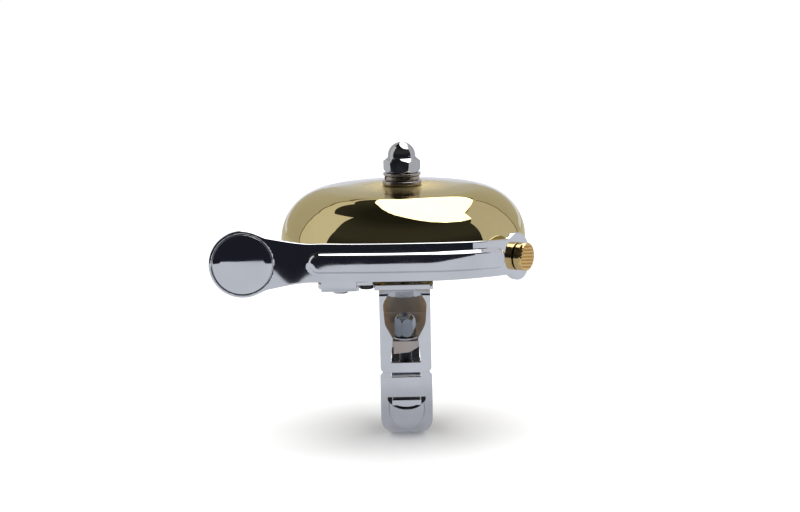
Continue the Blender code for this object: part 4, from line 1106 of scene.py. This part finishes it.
def panels(name, first, second, material):
    """A strip of flat cards between two lines of spots, seen only in reflections."""
    work = bmesh.new()
    near = [work.verts.new(spot) for spot in first]
    far = [work.verts.new(spot) for spot in second]
    for k in range(len(near) - 1):
        work.faces.new((near[k], near[k + 1], far[k + 1], far[k]))
    reflected(name, work, material)


def reflected(name, work, material):
    """Puts a mesh of the studio where only reflections see it."""
    card = staged(name, work, material)
    card.visible_camera = card.visible_diffuse = card.visible_shadow = card.visible_transmission = False


def refined(line):
    """The same line of (azimuth, elevation) corners with a spot at least every three degrees."""
    spots = []
    for (a, e), (b, f) in zip(line, line[1:]):
        steps = max(1, ceil(max(abs(b - a), abs(f - e)) / 3))
        spots += [(a + (b - a) * k / steps, e + (f - e) * k / steps) for k in range(steps)]
    return spots + [line[-1]]


def curtain(name, line, colour, strength, distance=2.0):
    """A card that hangs from a line of (azimuth, elevation) corners to just below the level of the paper."""
    spots = refined(line)
    upper = [toward(a, e, distance) for a, e in spots]
    lower = [toward(a, CURTAIN_FOOT, distance) for a, _ in spots]
    panels(name, upper, lower, glow(name, colour, strength))


def ribbon(name, line, width, material, distance=1.7):
    """A narrow strip along a line of (azimuth, elevation) corners."""
    spots = [toward(a, e, distance) for a, e in refined(line)]
    sides = []
    for k, spot in enumerate(spots):
        way = spots[min(k + 1, len(spots) - 1)] - spots[max(k - 1, 0)]
        sides.append(way.cross(spot).normalized() * width / 2)
    upper, lower = ([spot + sign * side for spot, side in zip(spots, sides)] for sign in (1, -1))
    panels(name, upper, lower, material)


def dark_glow(name):
    """The dim room in front of the bell: nearly black low down and overhead, a little lighter between."""
    made = glow(name, (1.0, 1.0, 1.0), 1.0)
    tree = made.node_tree
    where = tree.nodes.new("ShaderNodeTexCoord")
    split = tree.nodes.new("ShaderNodeSeparateXYZ")
    ramp = tree.nodes.new("ShaderNodeValToRGB")
    tree.links.new(where.outputs["Generated"], split.inputs["Vector"])
    tree.links.new(split.outputs["Z"], ramp.inputs["Fac"])
    tree.links.new(ramp.outputs["Color"], tree.nodes["Emission"].inputs["Color"])
    fill_ramp(ramp, [
        (0.40, (0.014, 0.015, 0.022)), (0.58, (0.016, 0.017, 0.022)), (0.74, (0.046, 0.047, 0.045)),
        (0.88, (0.040, 0.041, 0.040)), (0.97, (0.018, 0.018, 0.018)),
    ])
    return made


def make_room():
    """The dark room round the studio."""
    work = bmesh.new()
    bmesh.ops.create_uvsphere(work, u_segments=48, v_segments=24, radius=3.5)
    reflected("dark_room", work, dark_glow("dark_room"))


def make_cards():
    """White cards beside and behind the bell, the dark seams between them, and a soft box above."""
    left = [
        (-77, 33), (-80, 42), (-85, 50), (-90, 57), (-94, 61), (-107, 56), (-120, 50), (-140, 49),
        (-160, 48), (-177, 31),
    ]
    curtain("card_left", left, (1.0, 0.995, 1.0), 0.78)
    right = [(80, 13), (82, 25), (85, 41), (94, 45), (101, 50), (108, 54), (132, 50), (158, 42)]
    curtain("card_right", right, (1.0, 0.99, 1.04), 0.67)
    seam_left = [
        (-113, CURTAIN_FOOT), (-114, 3), (-116, 19), (-121, 30), (-130, 38), (-148, 42), (-167, 38),
        (-176, 28),
    ]
    seam_right = [(-206, 38), (-218, 33), (-226, 24), (-228, 12), (-224, -1), (-223, CURTAIN_FOOT)]
    behind = seam_left[1:] + [(-191, 31)] + seam_right[:-2] + [(-226, 3)]
    curtain("card_back", behind, (0.97, 0.98, 1.0), 0.56, 1.8)
    low = [(-145, 2), (-158, 9), (-180, 10), (-202, 9), (-215, 2)]
    curtain("card_low", low, (0.62, 0.70, 1.0), 1.3, 1.75)
    seam = glow("seam", (1.0, 0.8, 0.6), 0.22)
    ribbon("seam_left", seam_left, 0.04, seam)
    ribbon("seam_right", seam_right, 0.04, seam)
    outline = [
        (-0.13, 0.10), (-0.08, -0.05), (0.02, -0.18), (0.12, -0.27), (0.22, -0.33), (0.38, -0.38),
        (0.63, -0.35), (0.88, -0.17), (1.0, 0.07), (0.69, 0.22), (0.52, 1.16), (0.107, 2.05),
        (-0.09, 1.73), (-0.16, 0.8), (-0.16, 0.3),
    ]
    corners = [DOME_MIDDLE + Vector((x, y, 1)) * SOFT_BOX_HEIGHT for x, y in outline]
    stage_panel("soft_box", corners, glow("soft_box", (1.0, 0.99, 0.98), 3.6))


def make_studio():
    """White paper under the bell, cards and a soft box that its metal reflects, and an even pale light."""
    seen = [(x * PAPER_HALF, y * PAPER_HALF, FLOOR) for x, y in ((-1, -1), (1, -1), (1, 1), (-1, 1))]
    stage_panel("paper_seen", seen, matt("paper_seen", (0.97, 0.97, 0.97)), camera=True, glossy=False)
    sheet = matt("paper", (0.3, 0.31, 0.33))
    shader = sheet.node_tree.nodes["Principled BSDF"]
    shader.inputs["Emission Color"].default_value = (0.95, 0.97, 1.03, 1)
    shader.inputs["Emission Strength"].default_value = 0.29
    level = FLOOR - 0.1 * MM
    x, y, radius, reach = 0.02, -0.03, 0.29, 2
    front = arc((x, y), radius, -90, -34, 14)
    side = (x + reach * sin(radians(58)), y - reach * cos(radians(58)))
    outline = [(-reach, reach), (-reach, y - radius)] + front + [side, (reach, reach)]
    stage_panel("paper", [(x, y, level) for x, y in outline], sheet)
    make_cards()
    make_room()
    lamp = bpy.data.lights.new("key", "AREA")
    lamp.shape = "RECTANGLE"
    lamp.size, lamp.size_y = 0.7, 0.7
    lamp.energy = 2.4
    key = linked("key", lamp)
    key.location = (0.08, 0.1, 0.69)
    key.visible_glossy = False
    world = bpy.data.worlds.new("pale")
    world.use_nodes = True
    world.node_tree.nodes["Background"].inputs["Color"].default_value = (1.0, 1.0, 1.0, 1)
    world.node_tree.nodes["Background"].inputs["Strength"].default_value = 1.05
    bpy.context.scene.world = world


def make_camera():
    """A long lens that looks a little down on the bell from in front of its lever."""
    lens = bpy.data.cameras.new("camera")
    lens.lens = 109.62
    lens.sensor_width = 36
    camera = linked("camera", lens)
    place = AIM + Vector((0, -cos(PITCH), sin(PITCH))) * DISTANCE
    look = (AIM - place).to_track_quat("-Z", "Y").to_matrix().to_4x4()
    camera.matrix_world = Matrix.Translation(place) @ look @ Matrix.Rotation(ROLL, 4, "Z")
    bpy.context.scene.camera = camera
    bpy.context.scene.view_settings.view_transform = "Standard"


make_bracket()
make_saddle()
make_liner("saddle_liner", SADDLE_FROM, SADDLE_TO)
make_liner("strap_liner", 205, 330)
make_strap()
make_link()
make_screw()
make_hinge_pin()
make_plate()
make_post()
make_dome()
make_crown_stack()
make_lever()
make_striker()
make_pivot()
make_spring()
make_studio()
make_camera()
